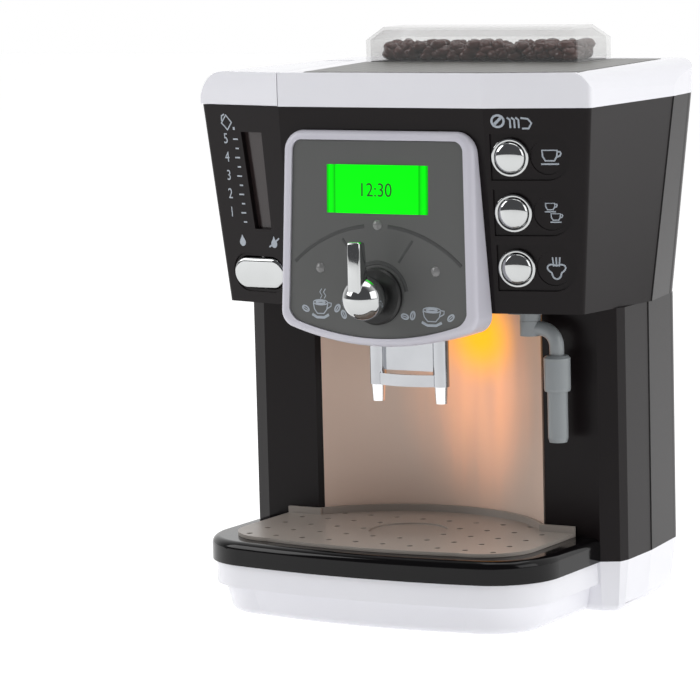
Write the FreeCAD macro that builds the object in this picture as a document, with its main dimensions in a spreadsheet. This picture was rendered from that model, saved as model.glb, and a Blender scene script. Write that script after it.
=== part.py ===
import FreeCAD, Part
import math
import os
import types

import Sketcher

# Toy coffee maker. Millimetres. +Z is up, -Y is the front, X = 0 is the centre plane.
# The origin is on the underside, halfway between the front of the drip tray and the
# back of the top cover.

SIZES = {
    # Overall heights above the table
    "base_top": 24.3, "head_bottom": 142.6, "head_top": 237.1, "cover_top": 253.0,
    "half_depth": 88.7,
    # Walls and clearances
    "shell_wall": 2.4, "cover_wall": 2.4, "base_wall": 2.6, "fit_gap": 0.3, "shaft_gap": 0.05,
    # Head: two wing faces turned back from a flat middle
    "crease_x": 54.0, "head_front_top": 49.5, "head_front_bottom": 40.5,
    "head_corner_x_top": 103.0, "head_corner_y_top": 38.9,
    "head_corner_x_bottom": 94.5, "head_corner_y_bottom": 31.74,
    "seam_x_top": 102.8, "seam_y_top": 49.8, "seam_x_bottom": 100.6, "seam_y_bottom": 27.0,
    "back_x_top": 99.6, "back_x_bottom": 95.0, "back_corner": 15.0,
    "back_top_y": 88.3, "back_bottom_y": 73.6, "edge_round": 2.0,
    # Lower body: two columns with a frosted round bay between them
    "column_front": 9.2, "column_face_x": 89.7, "column_chamfer_x": 98.0, "column_chamfer_y": 4.9,
    "column_side_x": 99.4, "column_side_y": 1.0, "column_seam_x": 98.8, "column_back_x": 94.8,
    "column_back_y": 72.4, "column_corner": 12.0, "bay_radius": 78.0, "bay_centre": 57.2, "panel_wall": 2.0,
    # Base block and the tray deck in front of it
    "base_inset": 2.6, "deck_step": 13.5, "deck_half": 88.2, "deck_low_half": 84.0,
    "deck_foot_half": 81.0, "deck_low_front": 84.4, "deck_foot_front": 81.4,
    "tray_corner_y": 52.0, "tray_corner_run": 27.0, "tray_corner_bow": 7.7, "tray_front_bow": 5.1,
    "foot_round": 4.0,
    # Drip tray and grate
    "tray_half": 90.0, "tray_height": 10.9, "tray_gap": 0.5, "slide_gap": 0.1, "tray_round": 3.6,
    "bowl_half": 73.0, "bowl_front": 75.0, "bowl_floor": 2.0, "grate_half": 77.5, "grate_front": 80.4, "grate_plate": 1.7,
    "grate_lip": 3.2, "grate_lip_wall": 1.6, "grate_skirt": 3.0, "grate_hole": 1.5,
    "hole_pitch_x": 14.4, "hole_pitch_y": 16.2, "cup_ring": 18.6, "cup_ring_depth": 0.7,
    "cup_ring_y": 31.0,
    # Top cover, tank lid and cup plate
    "cover_overhang": 0.4, "cover_roof": 3.4, "side_drop": 14.0, "lid_side_run": 15.0,
    "side_run_front": 4.5, "side_run_back": 14.0, "cover_inside_x": 84.0,
    "lid_seam_front": 54.0, "lid_seam_back": 71.0, "lid_axis_y": 53.3, "lid_deck": 2.0,
    "lid_gap": 0.4, "hinge_round": 2.7, "hinge_pin": 1.0, "hinge_left_x": 88.0, "hinge_seat": 5.0,
    "plate_recess": 1.4, "plate_thick": 1.6, "plate_wall": 1.0,
    "plate_left_front": 41.3, "plate_left_back": 57.7, "plate_right_front": 96.5, "plate_right_back": 84.0, "plate_margin": 3.0, "plate_back": 76.0,
    # Bean hopper
    "hopper_half": 57.7, "hopper_front": 40.8, "hopper_back": 76.0, "hopper_wall_top": 263.7,
    "hopper_top": 269.9, "hopper_chamfer": 6.4, "hopper_wall": 1.6, "hopper_sunk": 0.8,
    "bean_tray_thick": 1.2, "bean_rise": 5.0, "bean_crown": 3.4,
    # Control pod
    "pod_half_top": 50.2, "pod_half_bottom": 52.2, "pod_top": 226.7, "pod_side_bottom": 142.0,
    "pod_foot_x": 46.0, "pod_foot_z": 134.4, "pod_foot_bow": 1.6, "pod_low_bow": 7.4,
    "pod_corner": 10.0, "pod_face_top": 52.6, "pod_face_bottom": 56.2, "pod_rim": 5.0, "pod_round": 3.0,
    "panel_drop": 0.9, "panel_thick": 2.4, "works_half": 38.0, "works_low": 146.0, "works_high": 214.0,
    # Display and indicator lights on the control panel
    "display_half": 26.8, "display_height": 22.4, "display_z": 199.8, "display_deep": 7.0,
    "display_crown": 0.9, "light_ring": 33.0, "light_angle": 68.0, "light_radius": 2.4, "light_rise": 1.1,
    # Selector knob
    "knob_z": 150.4, "knob_ball": 10.3, "knob_reach": 11.6, "lever_length": 26.6, "lever_width": 6.8,
    "lever_thick": 6.0, "lever_lean": 4.0, "knob_neck": 6.0, "ring_radius": 13.2, "ring_height": 2.6,
    "shaft_radius": 3.0, "shaft_grip": 5.0, "switch_radius": 9.0, "switch_deep": 8.0,
    # Push buttons on the right wing
    "button_x": 65.4, "button_z_high": 214.8, "button_pitch": 25.5, "button_radius": 7.0,
    "button_proud": 3.4, "button_travel": 2.5, "button_stem": 2.6, "collar_radius": 8.8,
    "collar_proud": 1.0, "pocket_end_x": 82.6, "pocket_radius": 10.7, "pocket_deep": 1.2,
    "board_thick": 1.6, "board_back": 16.0,
    # Rocker and water gauge on the left wing
    "rocker_x": 73.6, "rocker_z": 157.2, "rocker_half": 15.6, "rocker_radius": 7.9, "rocker_proud": 1.6,
    "rocker_sunk": 3.4, "rocker_tilt": 6.0, "rocker_frame": 1.4, "rocker_gap": 0.6,
    "rocker_pin": 1.0,
    "gauge_top": 224.6, "gauge_bottom": 178.2, "gauge_x": 72.1, "gauge_half_top": 6.7,
    "gauge_half_bottom": 5.3, "gauge_slant": 2.2, "gauge_deep": 1.6,
    # Water tank
    "tank_left": 92.5, "tank_margin": 3.0, "tank_front": 28.0, "tank_back": 40.0, "tank_low": 172.0,
    "tank_wall": 1.6, "tank_flange": 1.5,
    # Spout
    "post_x": 16.9, "spout_y": 25.9, "post_radius": 3.9, "post_low": 105.2, "bar_height": 5.6,
    "bar_bow": 4.0, "bar_wall": 2.0, "spout_plate": 1.5, "spout_plate_low": 112.0, "nozzle_top": 3.3,
    "nozzle_tip": 2.8, "nozzle_low": 97.2, "nozzle_bore": 1.3,
    # Steam wand
    "wand_x": 61.8, "wand_y": 21.2, "wand_reach": 13.4, "mount_half": 7.6, "mount_plate": 1.6,
    "mount_low": 137.6, "swivel_radius": 4.9, "swivel_low": 130.6, "swivel_pin": 2.0, "arm_radius": 3.4,
    "arm_bend": 8.0, "wand_top": 122.0, "wand_collar_radius": 6.2, "collar_low": 105.4,
    "tube_radius": 4.7, "tube_low": 81.6, "tube_bore": 2.0,
    # Inner works
    "lamp_x": 12.0, "lamp_z": 120.0, "lamp_radius": 2.5, "lamp_board_half": 8.0,
    "battery_radius": 7.1, "battery_length": 50.0, "battery_gap": 0.4, "battery_low": 38.0,
    "battery_wall": 1.6, "contact_thick": 0.6, "door_thick": 2.0, "door_ledge": 2.0,
    "pump_radius": 12.0, "pump_length": 30.0, "pump_x": 14.0, "pump_y": 8.0,
    "circuit_half": 38.0, "circuit_high": 60.0, "circuit_y": 12.0,
    "speaker_radius": 20.0, "speaker_z": 190.0, "speaker_deep": 7.0, "grille_slot": 1.3,
    "screw_head": 2.9, "screw_head_deep": 1.6, "screw_shank": 1.4, "screw_length": 8.0,
    "screw_boss": 4.2, "screw_sunk": 0.4, "base_screw_x": 62.0, "base_screw_front": 45.0,
    "base_screw_back": 48.0, "rear_screw_x": 78.0, "rear_screw_low": 46.0, "rear_screw_high": 122.0,
}


# How far a quarter circle of radius 1 stands out from its own chord.
QUARTER_BOW = 1 - math.sqrt(0.5)


class Size:
    """A length that keeps its number together with the sheet formula behind it."""

    def __init__(self, number, formula):
        self.number = number
        self.formula = formula

    def __add__(self, other):
        other = as_size(other)
        return Size(self.number + other.number, f"({self.formula} + {other.formula})")

    def __sub__(self, other):
        other = as_size(other)
        return Size(self.number - other.number, f"({self.formula} - {other.formula})")

    def __mul__(self, other):
        other = as_size(other)
        return Size(self.number * other.number, f"({self.formula} * {other.formula})")

    def __truediv__(self, other):
        other = as_size(other)
        return Size(self.number / other.number, f"({self.formula} / {other.formula})")

    def __neg__(self):
        return Size(-self.number, f"(0 - {self.formula})")

    def __radd__(self, other):
        return as_size(other) + self

    def __rsub__(self, other):
        return as_size(other) - self

    def __rmul__(self, other):
        return as_size(other) * self


def as_size(value):
    return value if isinstance(value, Size) else Size(float(value), f"{value:.6f}")


def root(value):
    """The square root of a size."""
    return Size(math.sqrt(value.number), f"sqrt({value.formula})")


doc = FreeCAD.newDocument("CoffeeMaker")
sheet = doc.addObject("Spreadsheet::Sheet", "Sizes")
for row, (name, number) in enumerate(SIZES.items(), start=1):
    sheet.set(f"A{row}", name)
    sheet.set(f"B{row}", str(number))
    sheet.setAlias(f"B{row}", name)
doc.recompute()
s = types.SimpleNamespace(**{name: Size(float(number), f"Sizes.{name}") for name, number in SIZES.items()})

bodies = {}


def bind(thing, place, value):
    """Set one property of an object, by its sheet formula where it has one."""
    value = as_size(value)
    if "Sizes." in value.formula:
        thing.setExpression(place, value.formula)
    else:
        setattr(thing, place, value.number)


def new_body(name, place=None, several=False):
    """A sub-part, named as its file. It is one solid, or several like ones."""
    body = doc.addObject("PartDesign::Body", name)
    body.Label = name
    body.AllowCompound = several
    if place is not None:
        body.Placement = place
    bodies[name] = body
    return body


def drawing(body, plane="XY", out=0.0, place=None):
    """A sketch on one of the body's own planes, moved along its normal, or at a place of its own."""
    sketch = body.newObject("Sketcher::SketchObject", body.Name + "_drawing")
    face = [feature for feature in body.Origin.OriginFeatures if feature.Role == plane + "_Plane"][0]
    sketch.AttachmentSupport = (face, [""])
    sketch.MapMode = "FlatFace"
    if place is not None:
        sketch.AttachmentOffset = place
    else:
        out = as_size(out)
        sketch.AttachmentOffset = FreeCAD.Placement(FreeCAD.Vector(0, 0, out.number), FreeCAD.Rotation())
        if "Sizes." in out.formula:
            sketch.setExpression("AttachmentOffset.Base.z", out.formula)
    return sketch


def hold(sketch, kind, *spots, value=None):
    """Add one constraint, bound to the sheet where its value comes from there."""
    if value is None:
        sketch.addConstraint(Sketcher.Constraint(kind, *spots))
        return
    value = as_size(value)
    index = sketch.addConstraint(Sketcher.Constraint(kind, *spots, value.number))
    if "Sizes." in value.formula:
        sketch.setExpression(f"Constraints[{index}]", value.formula)


def outline(sketch, corners):
    """A closed outline, run counter-clockwise. A corner is (x, y) or (x, y, bow): with a
    bow, the side that arrives there is an arc that stands out by that much."""
    ends = [(as_size(corner[0]), as_size(corner[1])) for corner in corners]
    points = [FreeCAD.Vector(x.number, y.number, 0) for x, y in ends]
    sides = []
    for i, corner in enumerate(corners):
        a, b = points[i - 1], points[i]
        if len(corner) == 2:
            index = sketch.addGeometry(Part.LineSegment(a, b))
            sides.append((index, 1, 2))
            continue
        bow = as_size(corner[2])
        run = b - a
        outward = FreeCAD.Vector(run.y, -run.x, 0).normalize() * bow.number
        index = sketch.addGeometry(Part.Arc(a, (a + b) / 2 + outward, b))
        first = 1 if sketch.getPoint(index, 1).isEqual(a, 1e-4) else 2
        sides.append((index, first, 3 - first))
        across = ends[i][0] - ends[i - 1][0]
        along = ends[i][1] - ends[i - 1][1]
        chord = root(across * across + along * along)
        behind = (chord * chord / 4 - bow * bow) / (2 * bow * chord)
        middle_x = (ends[i][0] + ends[i - 1][0]) / 2
        middle_y = (ends[i][1] + ends[i - 1][1]) / 2
        if abs(along.number) >= abs(across.number):
            hold(sketch, "DistanceX", -1, 1, index, 3, value=middle_x - along * behind)
        else:
            hold(sketch, "DistanceY", -1, 1, index, 3, value=middle_y + across * behind)
    for i, (index, first, last) in enumerate(sides):
        hold(sketch, "DistanceX", -1, 1, index, last, value=ends[i][0])
        hold(sketch, "DistanceY", -1, 1, index, last, value=ends[i][1])
        hold(sketch, "Coincident", sides[i - 1][0], sides[i - 1][2], index, first)


def circle(sketch, x, y, radius):
    x, y, radius = as_size(x), as_size(y), as_size(radius)
    centre = FreeCAD.Vector(x.number, y.number, 0)
    index = sketch.addGeometry(Part.Circle(centre, FreeCAD.Vector(0, 0, 1), radius.number))
    hold(sketch, "Radius", index, value=radius)
    hold(sketch, "DistanceX", -1, 1, index, 3, value=x)
    hold(sketch, "DistanceY", -1, 1, index, 3, value=y)


def circles(spots, radius):
    """A drawing of equal circles, to be made on any sketch."""
    def draw(sketch):
        for x, y in spots:
            circle(sketch, x, y, radius)
    return draw


def box(sketch, left, right, low, high):
    outline(sketch, [(left, low), (right, low), (right, high), (left, high)])


def slot(sketch, left, right, middle, radius):
    """A slot with round ends, its end centres at left and right."""
    outline(sketch, [
        (left, middle - radius, radius), (right, middle - radius),
        (right, middle + radius, radius), (left, middle + radius)])


def pad(body, sketch, length, back=False, middle=False):
    """Add material along the sketch's normal, against it, or evenly on both sides."""
    feature = body.newObject("PartDesign::Pad", body.Name + "_pad")
    feature.Profile = sketch
    feature.Reversed = back
    feature.Midplane = middle
    bind(feature, "Length", length)
    return feature


def cut(body, sketch, length=None, forward=False):
    """Take material away against the sketch's normal, or along it. No length: all through."""
    feature = body.newObject("PartDesign::Pocket", body.Name + "_cut")
    feature.Profile = sketch
    feature.Reversed = forward
    if length is None:
        feature.Type = "ThroughAll"
    else:
        bind(feature, "Length", length)
    return feature


def loft(body, sketches, hollow=False):
    kind = "PartDesign::SubtractiveLoft" if hollow else "PartDesign::AdditiveLoft"
    feature = body.newObject(kind, body.Name + "_loft")
    feature.Profile = sketches[0]
    feature.Sections = sketches[1:]
    feature.Ruled = True
    return feature


def turn(body, sketch):
    """Revolve a half profile round the sketch's own vertical axis."""
    feature = body.newObject("PartDesign::Revolution", body.Name + "_turn")
    feature.Profile = sketch
    feature.ReferenceAxis = (sketch, ["V_Axis"])
    feature.Angle = 360
    return feature


def edges_of(body, wanted):
    """Names of the edges of the body so far whose bounding box and middle pass a test."""
    doc.recompute()
    shape = body.Tip.Shape
    names = []
    for number, edge in enumerate(shape.Edges, start=1):
        if wanted(edge, edge.valueAt((edge.FirstParameter + edge.LastParameter) / 2)):
            names.append(f"Edge{number}")
    return names


def soften(body, radius, wanted):
    """Round the edges that pass a test."""
    names = edges_of(body, wanted)
    if not names:
        raise RuntimeError(f"{body.Label}: no edge to soften")
    base = body.Tip
    feature = body.newObject("PartDesign::Fillet", body.Name + "_soft")
    feature.Base = (base, names)
    bind(feature, "Radius", radius)
    return feature


def frame_at(point, right, out):
    """A place whose local x runs to the right, z straight out of a face and y up it."""
    up = out.cross(right)
    matrix = FreeCAD.Matrix(
        right.x, up.x, out.x, point.x,
        right.y, up.y, out.y, point.y,
        right.z, up.z, out.z, point.z, 0, 0, 0, 1)
    return FreeCAD.Placement(matrix)


def wing_frame(side, across, height):
    """A place on the left (-1) or right (+1) wing face, at a distance from the centre plane."""
    top = FreeCAD.Vector(SIZES["crease_x"], -SIZES["head_front_top"], SIZES["head_top"])
    corner = FreeCAD.Vector(SIZES["head_corner_x_top"], -SIZES["head_corner_y_top"], SIZES["head_top"])
    low = FreeCAD.Vector(SIZES["crease_x"], -SIZES["head_front_bottom"], SIZES["head_bottom"])
    right = (corner - top).normalize()
    out = (low - top).cross(right).normalize()
    if out.y > 0:
        out = -out
    drop = (top.z - height) / (top.z - low.z)
    depth = top.y + (low.y - top.y) * drop + (across - top.x) * right.y / right.x
    point = FreeCAD.Vector(side * across, depth, height)
    return frame_at(point, FreeCAD.Vector(right.x, side * right.y, 0), FreeCAD.Vector(side * out.x, out.y, out.z))


def shift(place, x=0.0, y=0.0, out=0.0):
    """The same place moved in its own directions."""
    move = FreeCAD.Vector(as_size(x).number, as_size(y).number, as_size(out).number)
    return place.multiply(FreeCAD.Placement(move, FreeCAD.Rotation()))


def upright(place):
    """The same place turned so that its z runs along what was its y."""
    return place.multiply(FreeCAD.Placement(FreeCAD.Vector(), FreeCAD.Rotation(FreeCAD.Vector(1, 0, 0), -90)))


def tilt(place, angle):
    """The same place turned about its own y, so that a positive angle lifts its left side."""
    return place.multiply(FreeCAD.Placement(FreeCAD.Vector(), FreeCAD.Rotation(FreeCAD.Vector(0, 1, 0), angle)))


def pod_frame(x=0.0, height=0.0):
    """A place on the control pod's leaning face."""
    lean = (SIZES["pod_face_bottom"] - SIZES["pod_face_top"]) / (SIZES["pod_top"] - SIZES["pod_foot_z"])
    foot = SIZES["pod_face_bottom"] + SIZES["pod_foot_z"] * lean
    out = FreeCAD.Vector(0, -1, lean).normalize()
    base = frame_at(FreeCAD.Vector(0, -foot, 0), FreeCAD.Vector(1, 0, 0), out)
    return shift(base, x, height)


def back_frame(x, height):
    """A place on the flat back of the lower body, seen from behind."""
    point = FreeCAD.Vector(as_size(x).number, SIZES["column_back_y"], as_size(height).number)
    return frame_at(point, FreeCAD.Vector(-1, 0, 0), FreeCAD.Vector(0, 1, 0))


def head_back_frame(height):
    """A place in the middle of the head's leaning back, seen from behind."""
    rise = SIZES["head_top"] - SIZES["head_bottom"]
    run = SIZES["back_top_y"] - SIZES["back_bottom_y"]
    depth = SIZES["back_bottom_y"] + run * (SIZES[height] - SIZES["head_bottom"]) / rise
    out = FreeCAD.Vector(0, rise, -run).normalize()
    return frame_at(FreeCAD.Vector(0, depth, SIZES[height]), FreeCAD.Vector(-1, 0, 0), out)


def sink(body, place, draw, depth, above=4.0):
    """Take a pocket of a given depth out of the face that a place lies on."""
    sketch = drawing(body, place=shift(place, out=above))
    draw(sketch)
    cut(body, sketch, depth + above)


def grow(body, place, draw, start, length, back=False):
    """Add material from a given height over a place, outwards or inwards."""
    sketch = drawing(body, place=shift(place, out=start))
    draw(sketch)
    pad(body, sketch, length, back)


def dome_bow(radius, rise):
    """The bow of a half profile that ends on the axis in a round cap of a given rise."""
    chord = radius * radius + rise * rise
    ball = chord / (rise * 2)
    return ball - root(ball * ball - chord / 4)


def turned(name, place, corners):
    """A piece turned about its own z axis from a half profile of (radius, height) corners."""
    body = new_body(name, place)
    profile = drawing(body, "XZ")
    outline(profile, corners)
    turn(body, profile)
    return body


# Head outline, counter-clockwise from the front left corner. Level is "top" or "bottom".
def head_section(sketch, level, inset=0.0):
    inset = as_size(inset)
    corner_x, corner_y = getattr(s, f"head_corner_x_{level}"), getattr(s, f"head_corner_y_{level}")
    front, seam_x = getattr(s, f"head_front_{level}"), getattr(s, f"seam_x_{level}")
    seam_y, back_x = getattr(s, f"seam_y_{level}"), getattr(s, f"back_x_{level}")
    back_y = getattr(s, f"back_{level}_y")
    radius = s.back_corner - inset
    slope = (front - corner_y) / (corner_x - s.crease_x)
    side, wing = corner_x - inset, inset * (1 - slope) - corner_y
    before, beside = wing - s.edge_round * slope, wing + s.edge_round
    outline(sketch, [
        (s.edge_round - side, before, s.edge_round * 0.28), (-s.crease_x, inset - front),
        (s.crease_x, inset - front), (side - s.edge_round, before), (side, beside, s.edge_round * 0.28),
        (seam_x - inset, seam_y), (back_x - inset, back_y - inset - radius),
        (back_x - inset - radius, back_y - inset, radius * QUARTER_BOW),
        (radius + inset - back_x, back_y - inset),
        (inset - back_x, back_y - inset - radius, radius * QUARTER_BOW), (inset - seam_x, seam_y),
        (-side, beside)])


# Outline of the lower body, counter-clockwise from the front left of the left column.
def body_section(sketch, inset=0.0):
    inset = as_size(inset)
    radius = s.column_corner - inset / 2
    front, back = inset - s.column_front, s.column_back_y - inset
    face_x = s.column_face_x - inset * 0.24
    chamfer_x, chamfer_y = s.column_chamfer_x - inset * 0.87, inset * 0.68 - s.column_chamfer_y
    side_x, side_y = s.column_side_x - inset, s.column_side_y + inset * 0.11
    outline(sketch, [
        (-chamfer_x, chamfer_y), (-face_x, front), (face_x, front), (chamfer_x, chamfer_y), (side_x, side_y),
        (s.column_seam_x - inset, s.seam_y_bottom), (s.column_back_x - inset, back - radius),
        (s.column_back_x - inset - radius, back, radius * QUARTER_BOW),
        (radius + inset - s.column_back_x, back),
        (inset - s.column_back_x, back - radius, radius * QUARTER_BOW),
        (inset - s.column_seam_x, s.seam_y_bottom), (-side_x, side_y)])


def bay_segment(sketch, radius, front):
    """The slice of the bay's circle that lies behind a plane at a depth y."""
    reach = s.bay_centre + front
    half = root(radius * radius - reach * reach)
    outline(sketch, [(-half, front, radius - reach), (half, front)])


def bay_band(sketch, inner, outer, front):
    """The wall between two circles of the bay, behind a plane at a depth y."""
    reach = s.bay_centre + front
    half_inner = root(inner * inner - reach * reach)
    half_outer = root(outer * outer - reach * reach)
    outline(sketch, [(-half_inner, front), (half_inner, front, reach - inner),
                     (half_outer, front), (-half_outer, front, outer - reach)])


# Outline of the tray and of the deck under it: straight sides, round corners, bowed front.
def tray_section(sketch, half, front, back_y):
    inner = half - s.tray_corner_run
    face = s.tray_front_bow - front
    outline(sketch, [
        (-half, back_y), (-half, -s.tray_corner_y), (-inner, face, s.tray_corner_bow),
        (inner, face, s.tray_front_bow), (half, -s.tray_corner_y, s.tray_corner_bow), (half, back_y)])


# Outline of the control pod and of what is set in it, seen from the front.
def pod_section(sketch, inset=0.0):
    inset = as_size(inset)
    corner = s.pod_corner - inset
    top, top_half = s.pod_top - inset * 0.86, s.pod_half_top - inset
    low_half, side = s.pod_half_bottom - inset, s.pod_side_bottom + inset * 0.3
    foot_x, foot_z = s.pod_foot_x - inset * 0.9, s.pod_foot_z + inset * 0.6
    foot_bow = s.pod_foot_bow - inset * 0.1
    outline(sketch, [
        (-foot_x, foot_z, foot_bow), (foot_x, foot_z, s.pod_low_bow - inset * 0.15),
        (low_half, side, foot_bow), (top_half, top - corner), (top_half - corner, top, corner * QUARTER_BOW),
        (corner - top_half, top), (-top_half, top - corner, corner * QUARTER_BOW), (-low_half, side)])


def seam_at(y):
    """Where the tank lid's slanting seam stands at a depth y, left of the centre plane."""
    run = s.hopper_front + s.head_front_top
    return -(s.lid_seam_front + (s.lid_seam_back - s.lid_seam_front) * (y + s.head_front_top) / run)


far = s.half_depth * 2

# White base block with the tray deck in front, hollow and open underneath.
base = new_body("base_shell")
foot = drawing(base)
body_section(foot, s.base_inset)
crown = drawing(base, out=s.base_top)
body_section(crown)
loft(base, [foot, crown])
deck_foot = drawing(base)
tray_section(deck_foot, s.deck_foot_half, s.deck_foot_front, as_size(0))
deck_low = drawing(base, out=s.deck_step)
tray_section(deck_low, s.deck_low_half, s.deck_low_front, as_size(0))
loft(base, [deck_foot, deck_low])
deck = drawing(base, out=s.deck_step)
tray_section(deck, s.deck_half, s.half_depth - (s.tray_half - s.deck_half), as_size(0))
pad(base, deck, s.base_top - s.deck_step)
soften(base, s.foot_round, lambda edge, middle: edge.BoundBox.ZMax < 0.01)
rim = s.foot_round + s.base_wall
base_hollow = s.base_top - s.base_wall
front_hollow = drawing(base)
tray_section(front_hollow, s.deck_foot_half - rim, s.deck_foot_front - rim, s.base_wall)
cut(base, front_hollow, base_hollow, forward=True)
back_hollow = drawing(base)
body_section(back_hollow, s.base_inset + rim)
cut(base, back_hollow, base_hollow, forward=True)
base_screw_spots = [
    (side * s.base_screw_x, depth) for side in (-1, 1) for depth in (-s.base_screw_front, s.base_screw_back)]


below = frame_at(FreeCAD.Vector(), FreeCAD.Vector(1, 0, 0), FreeCAD.Vector(0, 0, 1))
grow(base, below, circles(base_screw_spots, s.screw_boss), s.base_wall, base_hollow - s.base_wall)
pilot = drawing(base, out=s.base_wall)
circles(base_screw_spots, s.screw_shank + s.shaft_gap)(pilot)
cut(base, pilot, s.screw_length, forward=True)

# Flat plate that closes the underside, and its four screws.
plate = new_body("base_plate")
plate_outline = drawing(plate)
body_section(plate_outline, s.base_inset + rim + s.fit_gap)
pad(plate, plate_outline, s.base_wall)
plate_front = drawing(plate)
tray_section(plate_front, s.deck_foot_half - rim - s.fit_gap, s.deck_foot_front - rim - s.fit_gap,
             s.base_wall - s.fit_gap)
pad(plate, plate_front, s.base_wall)
screw_seat = s.screw_sunk + s.screw_head_deep
for radius, depth in ((s.screw_head + s.fit_gap, screw_seat), (s.screw_shank + s.fit_gap, s.base_wall)):
    hole = drawing(plate)
    circles(base_screw_spots, radius)(hole)
    cut(plate, hole, depth, forward=True)


def screws(name, place, spots, outward=False):
    """Pan-head screws whose heads face against the place's z, or along it."""
    body = new_body(name, place, several=True)
    sign = -1 if outward else 1
    head = drawing(body, out=sign * s.screw_sunk)
    circles(spots, s.screw_head)(head)
    pad(body, head, s.screw_head_deep, back=outward)
    shank = drawing(body, out=sign * screw_seat)
    circles(spots, s.screw_shank)(shank)
    pad(body, shank, s.screw_length, back=outward)


screws("base_screws", None, base_screw_spots)

# Lower front shell: two columns joined behind the round bay by a bridge above and below.
columns = new_body("column_shell")
column_outline = drawing(columns, out=s.base_top)
body_section(column_outline)
pad(columns, column_outline, s.head_bottom - s.base_top)
column_hollow = drawing(columns, out=s.base_top + s.shell_wall)
body_section(column_hollow, s.shell_wall)
cut(columns, column_hollow, s.head_bottom - s.base_top - s.shell_wall * 2, forward=True)
behind = drawing(columns, "YZ", out=far)
box(behind, s.seam_y_bottom, far, as_size(0), s.head_top)
cut(columns, behind)
bay = drawing(columns)
circle(bay, 0, -s.bay_centre, s.bay_radius)
cut(columns, bay, forward=True)
panel_front = s.shell_wall - s.column_front
panel_seat = drawing(columns)
bay_segment(panel_seat, s.bay_radius + s.panel_wall + s.fit_gap / 2, panel_front)
cut(columns, panel_seat, forward=True)

# Four long posts reach back from its front wall to take the screws of the rear shell.
rear_screw_spots = [
    (side * s.rear_screw_x, height) for side in (-1, 1) for height in (s.rear_screw_low, s.rear_screw_high)]
post_end = s.column_back_y - s.shell_wall * 2
screw_posts = drawing(columns, "XZ", out=-post_end)
circles(rear_screw_spots, s.screw_boss)(screw_posts)
pad(columns, screw_posts, post_end + s.column_front - s.shell_wall / 2)
post_pilots = drawing(columns, "XZ", out=-post_end)
circles(rear_screw_spots, s.screw_shank + s.shaft_gap)(post_pilots)
cut(columns, post_pilots, s.screw_length, forward=True)

# Frosted panel that lines the bay and glows from the lamp behind it.
light_panel = new_body("light_panel")
band = drawing(light_panel, out=s.base_top)
bay_band(band, s.bay_radius, s.bay_radius + s.panel_wall, panel_front)
pad(light_panel, band, s.head_bottom - s.base_top)


def head_loft(body):
    """The whole head as a solid."""
    low = drawing(body, out=s.head_bottom)
    head_section(low, "bottom")
    high = drawing(body, out=s.head_top)
    head_section(high, "top")
    loft(body, [low, high])


def head_hollow(body):
    """Empty the head down to its floor, leaving it open at the top."""
    low = drawing(body, out=s.head_bottom + s.shell_wall)
    head_section(low, "bottom", s.shell_wall)
    high = drawing(body, out=s.head_top)
    head_section(high, "top", s.shell_wall)
    loft(body, [low, high], hollow=True)


# Front half of the head: a flat middle and two wings, open at the top and at the back seam.
housing = new_body("front_housing")
head_loft(housing)
head_hollow(housing)
seam = drawing(housing, "YZ", out=far)
outline(seam, [(s.seam_y_bottom, 0), (far, 0), (far, s.cover_top), (s.seam_y_top, s.cover_top),
               (s.seam_y_top, s.head_top), (s.seam_y_bottom, s.head_bottom)])
cut(housing, seam)


def works_opening(sketch):
    box(sketch, -s.works_half, s.works_half, s.works_low, s.works_high)


sink(housing, pod_frame(), works_opening, s.pod_face_bottom - s.head_front_bottom + s.shell_wall * 2)

# Push button pockets: a square left end, a round right end with a dished disc for the sign.
button_heights = [SIZES["button_z_high"] - index * SIZES["button_pitch"] for index in range(3)]
button_frames = [wing_frame(1, SIZES["button_x"], height) for height in button_heights]


def button_pocket(sketch):
    left = s.crease_x + s.edge_round - s.button_x
    end = s.pocket_end_x - s.button_x
    outline(sketch, [(left, -s.pocket_radius), (end, -s.pocket_radius),
                     (end, s.pocket_radius, s.pocket_radius), (left, s.pocket_radius)])


for place in button_frames:
    sink(housing, place, button_pocket, s.pocket_deep)
    sink(housing, place, circles([(0, 0)], s.collar_radius - s.collar_proud / 2), s.shell_wall * 3)
    disc = [(s.pocket_end_x - s.button_x, 0)]
    sink(housing, place, circles(disc, s.pocket_radius - s.pocket_deep * 2), s.pocket_deep + s.pocket_deep / 2)
board_frame = button_frames[1]
board_spots = [board_frame.inverse().multVec(place.Base) for place in button_frames]
post_spots = [((a + b) / 2) for a, b in zip(board_spots, board_spots[1:])]
grow(housing, board_frame, circles([(spot.x, spot.y) for spot in post_spots], s.button_stem),
     -s.shell_wall / 2, s.board_back - s.board_thick - s.shell_wall / 2, back=True)

# Rocker opening and lugs, and the water gauge's opening, on the left wing.
rocker_frame = wing_frame(-1, SIZES["rocker_x"], SIZES["rocker_z"])
rocker_end = s.rocker_half - s.rocker_radius
sink(housing, rocker_frame, lambda sketch: slot(sketch, -rocker_end, rocker_end, 0, s.rocker_radius),
     s.shell_wall * 2)
sink(housing, rocker_frame,
     lambda sketch: slot(sketch, -rocker_end, rocker_end, 0, s.rocker_radius + s.rocker_frame),
     s.rocker_gap)
pin_depth = s.rocker_sunk
for side in (-1, 1):
    near = side * (s.rocker_radius + s.fit_gap)
    away = side * (s.rocker_radius + s.fit_gap + s.shell_wall)
    low_edge, high_edge = (away, near) if side < 0 else (near, away)
    grow(housing, rocker_frame, lambda sketch: box(sketch, -s.shell_wall, s.shell_wall, low_edge, high_edge),
         -s.shell_wall / 2, pin_depth + s.rocker_pin + s.shell_wall / 2, back=True)
lug_span = s.rocker_radius + s.fit_gap + s.shell_wall
pin_frame = upright(shift(rocker_frame, out=-pin_depth))
sink(housing, shift(pin_frame, out=lug_span), circles([(0, 0)], s.rocker_pin + s.shaft_gap),
     lug_span * 2, above=0.0)
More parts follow.
